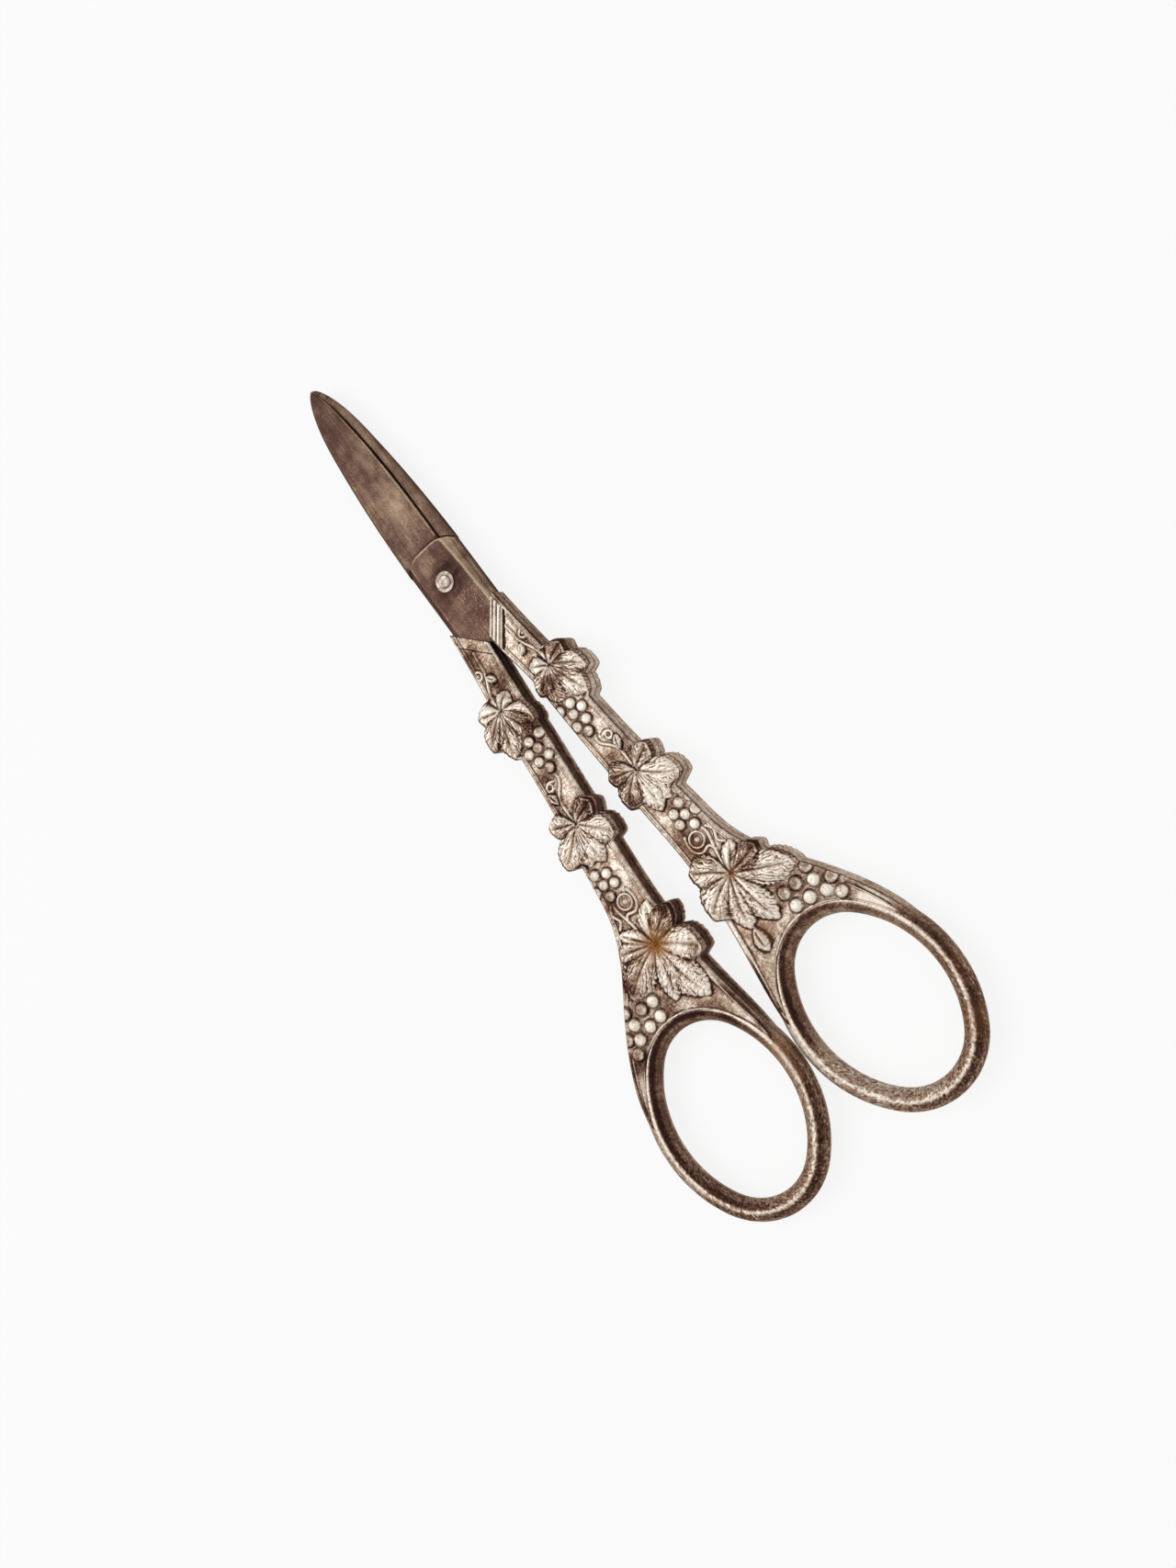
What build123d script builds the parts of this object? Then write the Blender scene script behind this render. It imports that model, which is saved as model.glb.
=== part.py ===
# Grape shears with die-stamped vine handles.
#
# Two halves cross at one rivet. Each half is a steel blade whose tang is cemented into a hollow
# handle. Each handle is two stamped half shells, front and back, soldered round their edges, and
# its finger bow is part of the same stampings.
#
# The pieces are worked out with the rivet's axis at the origin: X to the right, Y towards the
# tips, Z out of the front, with the blades meeting at Z = 0. The right handle and the front
# blade are one half. The left handle and the back blade are the same half turned over about Y.
# The finished pieces are then moved, so that the origin is under the middle of the closed
# shears, on the table that they lie on.

import os
from math import atan2, degrees, hypot

from build123d import *

# Overall
TIP_Y = 45.1
BOW_END_Y = -119.9
LEAF_TOP = 3.05  # highest relief, which the shears also lie on
HALF_GAP = 0.02  # each blade's flat side stays this far off the meeting plane

# Pivot plates
PLATE_TOP = 2.3
PLATE_HALF_WIDTH = 5.6
PLATE_SIDE = 0.8  # height of the upright side, below the chamfer
PLATE_CHAMFER = 1.1
SHOULDER_R = 7.8  # arc about the rivet where the blade starts
SHOULDER_GAP = 0.12
VEE_CORNER = (5.7, -7.3)  # the plate ends in a vee, where the handles start
VEE_TIP_Y = -13.7
ARM_REACH = 3.0  # a cut along the vee's arm runs this far past its ends

# Blades
BLADE_ROOT_TOP = 1.95
BLADE_TIP_TOP = 0.75
BLADE_BEVEL = 0.7
RAIL_ROOT_DEPTH = 1.6  # the rail on a blade's back laps the other blade's edge
RAIL_TIP_Z = 0.1  # the rail's low side would be here at the tips, so it runs out before them
RAIL_END_Y = 41.0
RAIL_GAP = 0.15
SPINE = [(5.6, 5.0), (5.5, 12.0), (5.15, 21.0), (4.45, 30.0), (3.3, 38.0), (2.0, 42.2)]
EDGE = [(3.5, 5.0), (3.4, 16.0), (3.1, 24.0), (2.6, 31.0), (1.8, 38.0)]

# Tang, in the front half of the handle
TANG_T = 1.3
TANG_START = (2.9, -9.5)
TANG_END = (7.6, -56.0)
TANG_WIDTH = 3.0
TANG_END_WIDTH = 1.6

# Rivet and its washers
SHANK_R = 0.95
SHANK_PLAY = 0.03  # in the front blade, which turns on it
SHANK_SEAT = 0.01  # in the back blade, which holds it
HEAD_R = 1.2
HEAD_HEIGHT = 0.34
HEAD_ROUND = 0.26
WASHER_R = 1.8
WASHER_T = 0.28

# Handle
STEM_HALF = 2.35  # half the stem's thickness
STEM_ROUND = 0.8
STEM_SLOPE_Y = -82.0  # from here the stem thins towards the bow
PANEL_INSET = 1.2  # border round the sunk panel
PANEL_DEPTH = 0.3
WALL = 0.8  # metal of the stampings
FILLING_GAP = 0.02
COLLAR_TOP = 2.6
COLLAR_RIB = 0.45
COLLAR_PITCH = 0.75
COLLAR_RIBS = 3
STEM_OUTER = [(5.6, -6.0), (6.6, -15.0), (8.05, -26.0), (9.1, -37.0), (10.4, -47.0), (12.0, -57.0),
              (13.3, -64.0), (16.4, -70.5), (20.6, -76.3), (25.2, -83.0), (28.8, -90.0),
              (30.2, -96.0)]
STEM_INNER = [(0.1, -12.0), (0.55, -18.0), (1.6, -30.0), (2.75, -43.0), (3.75, -56.0), (4.35, -66.0),
              (4.0, -74.0), (3.2, -81.0), (2.1, -88.0), (0.7, -97.0)]

# Finger bow, an oval ring of round section
BOW_CENTRE = (15.95, -100.6)
BOW_ACROSS = 13.75  # centre line's half width
BOW_ALONG = 17.4  # centre line's half length
BOW_END_R = 11.6  # centre line's radius round its two ends
BOW_LEAN = 7.3  # degrees that its lower end leans outwards
BOW_R = 1.95

# Leaves of the right handle: their hearts, then each lobe's tip and width
LEAF_RIM = 0.35  # the raised lobes start this far inside the leaf's outline
LEAVES = [
    ((6.3, -24.2), [(1.9, -25.9, 4.2), (4.4, -30.6, 4.4), (9.2, -31.8, 4.4), (11.9, -28.0, 4.4),
                    (10.6, -22.6, 3.8)]),
    ((7.5, -47.0), [(2.9, -45.9, 3.4), (3.1, -51.9, 4.6), (7.6, -55.6, 5.0), (13.9, -52.0, 5.4),
                    (12.2, -45.4, 3.4)]),
    ((9.8, -71.0), [(4.0, -66.6, 4.6), (2.7, -75.6, 5.6), (7.0, -81.6, 5.2), (11.9, -81.0, 4.6),
                    (19.4, -75.6, 5.2), (16.2, -68.6, 4.6)]),
]

# Grapes of the right handle: their size, then their places
GRAPE_TOP = 2.95
GRAPES = [
    (1.1, [(4.5, -33.2), (6.6, -33.1), (3.6, -35.3), (5.9, -35.2), (4.9, -37.1)]),
    (1.15, [(11.3, -54.4), (9.9, -56.3), (11.9, -56.5), (9.4, -58.5), (11.2, -58.7), (9.9, -60.7)]),
    (1.3, [(15.2, -78.8), (17.8, -78.7), (20.6, -79.9), (15.6, -81.5), (18.3, -81.8), (21.3, -82.4),
           (23.2, -84.2)]),
]


def vee_arm(shift):
    """The vee's arm on the right, moved down and outwards by shift: its outer and inner ends."""
    run, rise = VEE_CORNER[0], VEE_CORNER[1] - VEE_TIP_Y
    along = Vector(run, rise).normalized()
    move = Vector(rise, -run).normalized() * shift
    reach = along * ARM_REACH
    return Vector(*VEE_CORNER) + move + reach, Vector(0, VEE_TIP_Y) + move - reach


def moved_aside(points, shift):
    """A line's points, each moved by shift to the right of the way the line runs there."""
    ways = [Vector(*after) - Vector(*before)
            for before, after in zip([points[0], *points[:-1]], [*points[1:], points[-1]])]
    return [Vector(*point) + way.normalized().rotate(Axis.Z, -90) * shift
            for point, way in zip(points, ways)]


def stem_face(inset):
    """The stem's outline, drawn in by inset on every side."""
    arm_out, arm_in = vee_arm(inset)
    above = Vector(0, 2 * ARM_REACH)
    with BuildSketch() as outline:
        with BuildLine():
            outer = Spline(*moved_aside(STEM_OUTER, inset))
            inner = Spline(*moved_aside(STEM_INNER, -inset))
            Line(outer @ 0, inner @ 0)
            Line(outer @ 1, inner @ 1)
        make_face()
        with BuildLine():
            Polyline(arm_out, arm_in, arm_in + above, arm_out + above, close=True)
        make_face(mode=Mode.SUBTRACT)
    return outline.sketch


def bow_oval(grow):
    """The bow's centre line, moved outwards by grow: an oval of four arcs, each tangent to the next."""
    side_r = (BOW_ALONG**2 + BOW_ACROSS**2 - 2 * BOW_ALONG * BOW_END_R) / (2 * (BOW_ACROSS - BOW_END_R))
    turn = degrees(atan2(BOW_ALONG - BOW_END_R, side_r - BOW_ACROSS))
    arcs = [(BOW_ACROSS - side_r, 0, side_r, -turn, 2 * turn),
            (0, BOW_ALONG - BOW_END_R, BOW_END_R, turn, 180 - 2 * turn),
            (side_r - BOW_ACROSS, 0, side_r, 180 - turn, 2 * turn),
            (0, BOW_END_R - BOW_ALONG, BOW_END_R, 180 + turn, 180 - 2 * turn)]
    with BuildLine() as oval:
        for x, y, radius, start, size in arcs:
            centre = Vector(*BOW_CENTRE) + Vector(x, y).rotate(Axis.Z, BOW_LEAN)
            CenterArc(centre, radius + grow, start + BOW_LEAN, size)
    return oval.line


def bow_face(grow):
    """The flat shape inside the bow's centre line, grown all round."""
    with BuildSketch() as shape:
        add(bow_oval(grow))
        make_face()
    return shape.sketch


def bow_tube(radius):
    """The finger bow's ring of round section."""
    path = bow_oval(0)
    with BuildPart() as tube:
        with BuildSketch(Plane(path @ 0, z_dir=path % 0)):
            Circle(radius)
        sweep(path=path)
    return tube.part


def lobe_faces(leaf, inset):
    """A leaf's lobes, each an ellipse from the leaf's heart to the lobe's tip."""
    heart, lobes = leaf
    with BuildSketch() as shape:
        for tip_x, tip_y, width in lobes:
            run, rise = tip_x - heart[0], tip_y - heart[1]
            middle = Location((heart[0] + run / 2, heart[1] + rise / 2, 0), (0, 0, degrees(atan2(rise, run))))
            with Locations(middle):
                Ellipse(hypot(run, rise) / 2 - inset / 2, width / 2 - inset)
    return shape.sketch


def handle_solid(inset):
    """The stem and the bow in one, drawn in by inset all round."""
    half = STEM_HALF - inset
    with BuildPart() as solid:
        add(extrude(stem_face(inset), half, both=True))
        if not inset:
            rims = solid.edges().filter_by(GeomType.BSPLINE).group_by(Axis.Z)
            fillet(rims[0] + rims[-1], STEM_ROUND)
        with BuildSketch(Plane.YZ):
            with BuildLine():
                Polyline((STEM_SLOPE_Y, half), (BOW_CENTRE[1], BOW_R - inset), (BOW_CENTRE[1], 2 * half),
                         (STEM_SLOPE_Y, 2 * half), close=True)
            make_face()
            mirror(about=Plane.XZ)
        extrude(amount=2 * BOW_END_R + 2 * BOW_ACROSS, mode=Mode.SUBTRACT)
        add(extrude(bow_face(0), 2 * half, both=True), mode=Mode.SUBTRACT)
        add(bow_tube(BOW_R - inset))
    return solid.part


def tang_solid(play):
    """The tapered bar that runs from the pivot plate into the handle, grown by play."""
    bar_start, bar_end = Vector(*TANG_START), Vector(*TANG_END)
    across = (bar_end - bar_start).normalized().rotate(Axis.Z, 90)
    wide, narrow = TANG_WIDTH / 2 + play, TANG_END_WIDTH / 2 + play
    with BuildPart() as bar:
        with BuildSketch(Plane.XY.offset(HALF_GAP - play)):
            with BuildLine():
                Polyline(bar_start + across * wide, bar_end + across * narrow,
                         bar_end - across * narrow, bar_start - across * wide, close=True)
            make_face()
        extrude(amount=TANG_T + 2 * play)
    return bar.part


def collar_ribs():
    """Narrow ribs side by side along the handle's end, where the blade goes in."""
    with BuildPart() as ribs:
        for step in range(COLLAR_RIBS):
            near = COLLAR_PITCH * step + (COLLAR_PITCH - COLLAR_RIB) / 2
            upper = vee_arm(near)
            lower = vee_arm(near + COLLAR_RIB)
            with BuildSketch(Plane.XY.offset(STEM_HALF - STEM_ROUND)):
                with BuildLine():
                    Polyline(*upper, *reversed(lower), close=True)
                make_face()
                add(stem_face(COLLAR_RIB), mode=Mode.INTERSECT)
            extrude(amount=COLLAR_TOP - STEM_HALF + STEM_ROUND)
    return ribs.part


def panel_face():
    """The sunk panel's outline, short of the finger hole."""
    with BuildSketch() as panel:
        add(stem_face(PANEL_INSET))
        add(bow_face(PANEL_INSET), mode=Mode.SUBTRACT)
        for leaf in LEAVES:
            add(lobe_faces(leaf, 0), mode=Mode.SUBTRACT)
    return panel.sketch


def grape_caps():
    """The bunches of grapes, as much of them as stands above the sunk panel."""
    with BuildPart() as bunches:
        for radius, places in GRAPES:
            with Locations(*[(x, y, GRAPE_TOP - radius) for x, y in places]):
                Sphere(radius)
        split(bisect_by=Plane.XY.offset(STEM_HALF - 1.5 * PANEL_DEPTH), keep=Keep.TOP)
    return bunches.part


def front_stamping():
    """The front half of a handle's metal, with its leaves and grapes, hollow behind."""
    panel_floor = Plane.XY.offset(STEM_HALF - PANEL_DEPTH)
    with BuildPart() as metal:
        add(handle_solid(0))
        for leaf in LEAVES:
            with BuildSketch():
                add(lobe_faces(leaf, 0))
            extrude(amount=STEM_HALF, both=True)
        add(handle_solid(WALL), mode=Mode.SUBTRACT)
        split(bisect_by=Plane.XY, keep=Keep.TOP)
        with BuildSketch(panel_floor):
            add(panel_face())
        extrude(amount=PANEL_DEPTH, mode=Mode.SUBTRACT)
        for leaf in LEAVES:
            with BuildSketch(panel_floor):
                add(lobe_faces(leaf, LEAF_RIM))
            extrude(amount=LEAF_TOP - STEM_HALF + PANEL_DEPTH)
        add(grape_caps())
    return metal.part


def plate_solid():
    """The front pivot plate: an arc at the blade's end, chamfered sides and a vee below."""
    corner, tip = Vector(*VEE_CORNER), Vector(0, VEE_TIP_Y)
    joined_arm = (corner - tip).normalized()
    free_way = Vector(corner.Y - tip.Y, corner.X).normalized()
    free_corner = Vector(-corner.X, corner.Y) + free_way * SHOULDER_GAP
    free_tip = tip + joined_arm * (SHOULDER_GAP / joined_arm.dot(free_way))
    side_slope = (PLATE_TOP - PLATE_SIDE) / PLATE_CHAMFER
    past = 2 * PLATE_CHAMFER
    with BuildPart() as plate:
        with BuildSketch(Plane.XY.offset(HALF_GAP)):
            with BuildLine():
                Polyline((-PLATE_HALF_WIDTH, 0), (PLATE_HALF_WIDTH, 0), corner, free_tip,
                         free_corner, close=True)
            make_face()
            with BuildSketch(mode=Mode.PRIVATE) as upper:
                Rectangle(2 * PLATE_HALF_WIDTH, 2 * SHOULDER_R)
                Circle(SHOULDER_R, mode=Mode.INTERSECT)
                with Locations((0, -SHOULDER_R)):
                    Rectangle(4 * SHOULDER_R, 2 * SHOULDER_R, mode=Mode.SUBTRACT)
            add(upper.sketch)
        extrude(amount=PLATE_TOP - HALF_GAP)
        for side in (1, -1):
            with BuildSketch(Plane.XZ):
                with BuildLine():
                    top_in = (side * (PLATE_HALF_WIDTH - PLATE_CHAMFER), PLATE_TOP)
                    low_out = (side * (PLATE_HALF_WIDTH - PLATE_CHAMFER + past), PLATE_TOP - past * side_slope)
                    Polyline(top_in, low_out, (low_out[0], PLATE_TOP), close=True)
                make_face()
            extrude(amount=2 * SHOULDER_R, both=True, mode=Mode.SUBTRACT)
    return plate.part


def slope_cut(root_z, tip_z, way):
    """What lies past a plane that slopes from root_z at the rivet to tip_z at the tips."""
    far = way * 4 * BLADE_ROOT_TOP
    with BuildPart() as wedge:
        with BuildSketch(Plane.YZ):
            with BuildLine():
                Polyline((0, root_z), (TIP_Y, tip_z), (TIP_Y, far), (0, far), close=True)
            make_face()
        extrude(amount=4 * PLATE_HALF_WIDTH, both=True)
    return wedge.part


def blade_solid():
    """The front blade: its spine on the left and its cutting edge on the right."""
    with BuildPart() as blade:
        with BuildSketch(Plane.XY.offset(HALF_GAP)):
            with BuildLine():
                spine = Spline(*[(-x, y) for x, y in SPINE], (0, TIP_Y))
                edge = Spline(*EDGE, (0, TIP_Y))
                Line(spine @ 0, edge @ 0)
            make_face()
        extrude(amount=BLADE_ROOT_TOP - HALF_GAP)
        add(slope_cut(BLADE_ROOT_TOP, BLADE_TIP_TOP, 1), mode=Mode.SUBTRACT)
        tops = blade.faces().sort_by(Axis.Z)[-1]
        chamfer(tops.edges().sort_by(Axis.X)[0], BLADE_BEVEL)
    return blade.part


def rail_solid():
    """The strip behind the front blade's spine, which laps the back blade's edge."""
    side = 2 * PLATE_HALF_WIDTH
    with BuildPart() as rail:
        with BuildSketch(Plane.XY.offset(HALF_GAP)):
            with BuildLine():
                spine = Spline(*[(-x, y) for x, y in SPINE], (0, TIP_Y))
                Polyline(spine @ 1, (0, SPINE[0][1]), spine @ 0)
            make_face()
            with BuildSketch(mode=Mode.PRIVATE) as nest:
                with BuildLine():
                    wall = Spline(*[(-x - RAIL_GAP, y) for x, y in EDGE], (-RAIL_GAP, TIP_Y))
                    Polyline(wall @ 1, (side, TIP_Y), (side, EDGE[0][1]), wall @ 0)
                make_face()
            add(nest.sketch, mode=Mode.SUBTRACT)
            Circle(SHOULDER_R + RAIL_GAP, mode=Mode.SUBTRACT)
            with Locations((0, RAIL_END_Y + SHOULDER_R)):
                Rectangle(4 * SHOULDER_R, 2 * SHOULDER_R, mode=Mode.SUBTRACT)
        extrude(amount=-RAIL_ROOT_DEPTH - HALF_GAP)
        add(slope_cut(-RAIL_ROOT_DEPTH, RAIL_TIP_Z, -1), mode=Mode.SUBTRACT)
    return rail.part


def half_blade(hole_radius):
    """The front half's steel: plate, blade, rail and tang, with the rivet's hole."""
    with BuildPart() as steel:
        add(plate_solid())
        add(blade_solid())
        add(rail_solid())
        add(tang_solid(0))
        Cylinder(hole_radius, 4 * PLATE_TOP, mode=Mode.SUBTRACT)
    return steel.part


def rivet_solid():
    """The rivet's shank with a low rounded head at each end."""
    seat = PLATE_TOP + WASHER_T
    with BuildPart() as pin:
        Cylinder(SHANK_R, 2 * seat)
        with Locations((0, 0, seat + HEAD_HEIGHT / 2), (0, 0, -seat - HEAD_HEIGHT / 2)):
            Cylinder(HEAD_R, HEAD_HEIGHT)
        crowns = pin.edges().filter_by(GeomType.CIRCLE).group_by(Axis.Z)
        fillet(crowns[0] + crowns[-1], HEAD_ROUND)
    return pin.part


def washer_solid(side):
    """A washer between a plate and a rivet head, on the front with side 1, the back with -1."""
    with BuildPart() as ring:
        with BuildSketch(Plane.XY.offset(side * PLATE_TOP)):
            Circle(WASHER_R)
            Circle(SHANK_R + SHANK_SEAT, mode=Mode.SUBTRACT)
        extrude(amount=side * WASHER_T)
    return ring.part


def filling_solid():
    """The cement that fills a handle round its tang."""
    with BuildPart() as cement:
        add(handle_solid(WALL + FILLING_GAP))
        add(tang_solid(FILLING_GAP), mode=Mode.SUBTRACT)
    return cement.part


def collared_stamping(plain):
    """The stamping on a blade's own side, with its collar and the mouth for the tang."""
    with BuildPart() as metal:
        add(plain)
        add(collar_ribs())
        add(tang_solid(FILLING_GAP), mode=Mode.SUBTRACT)
    return metal.part


def turn_over(solid):
    """A piece of the right half as the left half's piece."""
    return solid.rotate(Axis.Y, 180)


def write_piece(name, solid):
    """One finished piece, moved to where it lies on the table, in its own file."""
    with BuildPart() as piece:
        add(Pos(0, -(TIP_Y + BOW_END_Y) / 2, LEAF_TOP) * solid)
    piece.part.label = name
    export_step(piece.part, f"parts/{name}.step")


os.makedirs("parts", exist_ok=True)
plain_metal = front_stamping()
collared_metal = collared_stamping(plain_metal)
cement = filling_solid()

write_piece("front_blade", half_blade(SHANK_R + SHANK_PLAY))
write_piece("right_handle_front", collared_metal)
write_piece("right_handle_back", mirror(plain_metal, about=Plane.XY))
write_piece("right_handle_filling", cement)

write_piece("back_blade", turn_over(half_blade(SHANK_R + SHANK_SEAT)))
write_piece("left_handle_back", turn_over(collared_metal))
write_piece("left_handle_front", turn_over(mirror(plain_metal, about=Plane.XY)))
write_piece("left_handle_filling", turn_over(cement))

write_piece("rivet", rivet_solid())
write_piece("front_washer", washer_solid(1))
write_piece("back_washer", washer_solid(-1))
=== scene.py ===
import bmesh
import bpy
import math
import numpy as np
from mathutils import Matrix, Vector


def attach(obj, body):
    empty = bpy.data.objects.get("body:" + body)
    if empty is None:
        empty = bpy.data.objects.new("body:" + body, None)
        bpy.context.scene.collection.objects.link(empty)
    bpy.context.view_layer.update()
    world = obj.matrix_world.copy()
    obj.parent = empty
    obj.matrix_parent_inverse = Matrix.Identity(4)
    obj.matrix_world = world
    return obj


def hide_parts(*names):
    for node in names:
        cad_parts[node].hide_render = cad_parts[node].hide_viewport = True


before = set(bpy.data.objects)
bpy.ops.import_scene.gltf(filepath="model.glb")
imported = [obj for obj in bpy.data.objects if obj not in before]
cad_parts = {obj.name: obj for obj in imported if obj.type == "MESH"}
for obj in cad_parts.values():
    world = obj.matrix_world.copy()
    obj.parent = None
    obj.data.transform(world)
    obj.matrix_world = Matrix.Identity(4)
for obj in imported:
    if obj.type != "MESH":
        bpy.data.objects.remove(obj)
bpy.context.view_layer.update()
print("frame loaded:", len(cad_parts), "nodes")

# All the shapes are worked out in millimetres about the rivet: X right, Y to the tips, Z out of the
# front, and the two halves meet at Z = 0. The right handle is the pattern for all four stampings.
rivetPlace = np.array([0.0, 37.4, 3.05])


def toMetres(points):
    # from the rivet's millimetres to where the shears lie
    return (np.asarray(points, float) + rivetPlace) * 0.001


def smoothStep(low, high, value):
    # 0 below low, 1 above high, and an easy S between them
    t = np.clip((value - low) / (high - low), 0, 1)
    return t * t * (3 - 2 * t)


def bell(distance, width):
    # 1 at no distance, falling smoothly to nothing over about twice the width
    return np.exp(-((distance / width) ** 2))


def softMax(a, b, blend):
    # the higher of two surfaces, with the crease between them rounded over a height of about blend
    near = np.clip(1 - np.abs(a - b) / blend, 0, 1)
    return np.maximum(a, b) + near * near * blend / 4


def smoothLine(points, step):
    # natural cubic spline through the points by distance along them, then read at even steps
    p = np.array(points, float)
    t = np.concatenate([[0], np.cumsum(np.hypot(*np.diff(p, axis=0).T))])
    gap = np.diff(t)
    mid = np.arange(1, len(p) - 1)
    band = np.eye(len(p))
    band[mid, mid - 1], band[mid, mid], band[mid, mid + 1] = gap[:-1], 2 * (gap[:-1] + gap[1:]), gap[1:]
    slope = np.diff(p, axis=0) / gap[:, None]
    bend = np.linalg.solve(band, np.vstack([np.zeros(2), 6 * np.diff(slope, axis=0), np.zeros(2)]))
    s = np.linspace(0, t[-1], int(t[-1] / step) + 2)
    k = np.clip(np.searchsorted(t, s, side="right") - 1, 0, len(gap) - 1)
    a = ((t[k + 1] - s) / gap[k])[:, None]
    b = 1 - a
    return a * p[k] + b * p[k + 1] + ((a**3 - a) * bend[k] + (b**3 - b) * bend[k + 1]) * gap[k, None] ** 2 / 6


def nearest(x, y, line):
    # distance from each point of the arrays x, y to the nearest point of a finely stepped line
    best = np.full(x.shape, 1e9)
    for part in np.array_split(line, max(1, len(line) // 24)):
        near = (x[..., None] - part[:, 0]) ** 2 + (y[..., None] - part[:, 1]) ** 2
        best = np.minimum(best, near.min(-1))
    return np.sqrt(best)


def unevenness(x, y, size, seed):
    # a low random swell: seven sine waves of about this size, in directions fixed by the seed
    rng = np.random.default_rng(seed)
    turn, phase, stretch = rng.uniform(0, 2 * np.pi, 7), rng.uniform(0, 2 * np.pi, 7), rng.uniform(0.6, 1.5, 7)
    k = 2 * np.pi / (size * stretch)
    waves = np.sin(k * (x[..., None] * np.cos(turn) + y[..., None] * np.sin(turn)) + phase)
    return waves.sum(-1) / 4


# leaves, grapes, vines
vineLook = {
    "leafRim": 2.4,  # height of a leaf's edge, mm above the seam
    "leafCrown": 0.6,  # how far the middle of a lobe rises above the edge
    "midVein": 0.1,  # depth of the groove down a lobe
    "sideVein": 0.14,
    "veinBow": 0.05,  # how far a mid-vein bows, as a share of its length
    "leafRough": 0.035,  # height of the leaf's hammered unevenness
    "saw": 0.13,  # depth of the teeth, as a share of the lobe's width
    "heartDip": 0.35,  # depth of the dip at a leaf's heart
    "crease": 0.17,  # depth of the valley between two lobes
    "grapeFoot": 1.8,  # heights of a grape's foot and of its top
    "grapeTop": 2.95,
    "grapeSize": 1.1,
    "vineFoot": 2.05,
    "vineWidth": 0.34,
    "vineRise": 0.34,
    "scrollWidth": 0.26,
    "bossRise": 0.5,
    "blend": 0.06,  # rounding of the creases beside vines and scrolls
    "highest": 3.04,
}

# each leaf: its heart, then each lobe's tip, width and tone, where above 0 is more tarnished. The
# leaves are cut a little differently on the two handles
smallLeaves = [((4.6, -17.4), [(3.2, -19.4, 1.7, 0.05)]), ((7.6, -43.2), [(8.4, -40.4, 1.8, 0.1)])]
leaves = {
    "right": smallLeaves + [
        ((6.2, -23.8), [(1.1, -27.0, 4.8, 0.1), (3.9, -30.2, 5.0, 0.1), (9.5, -32.2, 5.2, -0.06),
                        (12.3, -28.5, 5.0, -0.08), (11.1, -22.2, 4.5, 0.26), (2.9, -21.9, 3.4, 0.1)]),
        ((7.4, -47.3), [(1.9, -45.7, 5.0, 0.22), (2.0, -52.0, 5.6, 0.18), (6.9, -55.6, 4.8, -0.12),
                        (9.7, -54.9, 4.2, -0.08), (14.2, -52.6, 6.2, -0.1), (12.5, -45.0, 4.6, 0.18)]),
        ((9.8, -70.6), [(3.3, -66.4, 6.2, 0.1), (2.1, -75.0, 7.4, 0.0), (7.0, -79.9, 5.4, -0.03),
                        (12.0, -81.4, 5.0, -0.06), (20.4, -75.9, 6.2, -0.06), (17.0, -69.4, 5.0, 0.16),
                        (13.4, -66.3, 3.8, 0.04)]),
        ((7.5, -79.6), [(7.2, -84.4, 2.9, 0.2)])],
    "left": smallLeaves + [
        ((6.2, -23.8), [(1.2, -29.2, 4.4, 0.02), (3.9, -30.6, 4.8, 0.12), (9.5, -32.2, 5.2, 0.02),
                        (12.3, -28.5, 5.0, 0.04), (11.1, -22.2, 4.5, 0.0), (2.9, -21.9, 3.4, 0.18)]),
        ((7.4, -47.3), [(1.9, -45.9, 4.6, 0.26), (1.9, -53.2, 5.6, -0.06), (6.9, -55.6, 4.8, -0.1),
                        (9.7, -54.9, 4.2, -0.04), (14.2, -52.6, 6.2, -0.04), (12.5, -45.0, 4.6, 0.06)]),
        ((8.6, -71.6), [(5.2, -64.9, 4.6, -0.18), (1.9, -67.7, 5.0, 0.3), (1.5, -77.2, 6.6, -0.06),
                        (5.8, -83.9, 6.2, -0.14), (11.6, -81.2, 4.8, -0.06), (18.2, -76.6, 6.4, 0.12),
                        (15.9, -69.4, 4.4, 0.08), (13.2, -66.6, 3.4, 0.0)])],
}

# each bunch: the grapes' radius, then their places
bunches = [
    (1.1, [(4.5, -33.2), (6.6, -33.1), (3.6, -35.3), (5.9, -35.2), (4.9, -37.1), (2.7, -31.3), (5.2, -31.4)]),
    (1.1, [(11.4, -54.3), (10.1, -56.3), (12.3, -56.5), (9.8, -58.5), (11.8, -58.8), (10.1, -60.7),
            (8.1, -57.3), (7.9, -59.3)]),
    (1.3, [(15.2, -78.7), (17.8, -78.6), (20.6, -79.9), (15.6, -81.4), (18.3, -81.7), (21.3, -82.4),
           (23.2, -84.1), (20.9, -77.4), (23.3, -81.2)]),
]

vines = [
    [(3.9, -12.9), (4.2, -15.0), (4.5, -17.2), (5.6, -19.4), (6.3, -22.0), (6.3, -24.0)],
    [(5.2, -38.0), (5.0, -39.6), (5.9, -40.8), (7.0, -42.2), (7.4, -44.6), (7.4, -46.6)],
    [(6.2, -39.2), (7.2, -39.0), (7.9, -39.7), (7.5, -40.5), (6.8, -40.2)],
    [(10.4, -61.4), (10.8, -62.6), (10.5, -64.6), (10.0, -67.0), (9.8, -70.4)],
    [(7.0, -61.4), (6.7, -62.6), (6.9, -64.2), (8.2, -65.2), (9.6, -64.9), (10.3, -66.0)],
    [(11.3, -62.0), (12.0, -63.6), (11.5, -64.9), (12.4, -66.0)],
]

# rings of the scrolls: place, radius, and the boss's radius in the middle
scrolls = [((5.8, -16.5), 0.75, 0.3), ((8.6, -62.9), 1.35, 0.6), ((7.3, -39.7), 0.6, 0.0)]


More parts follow.
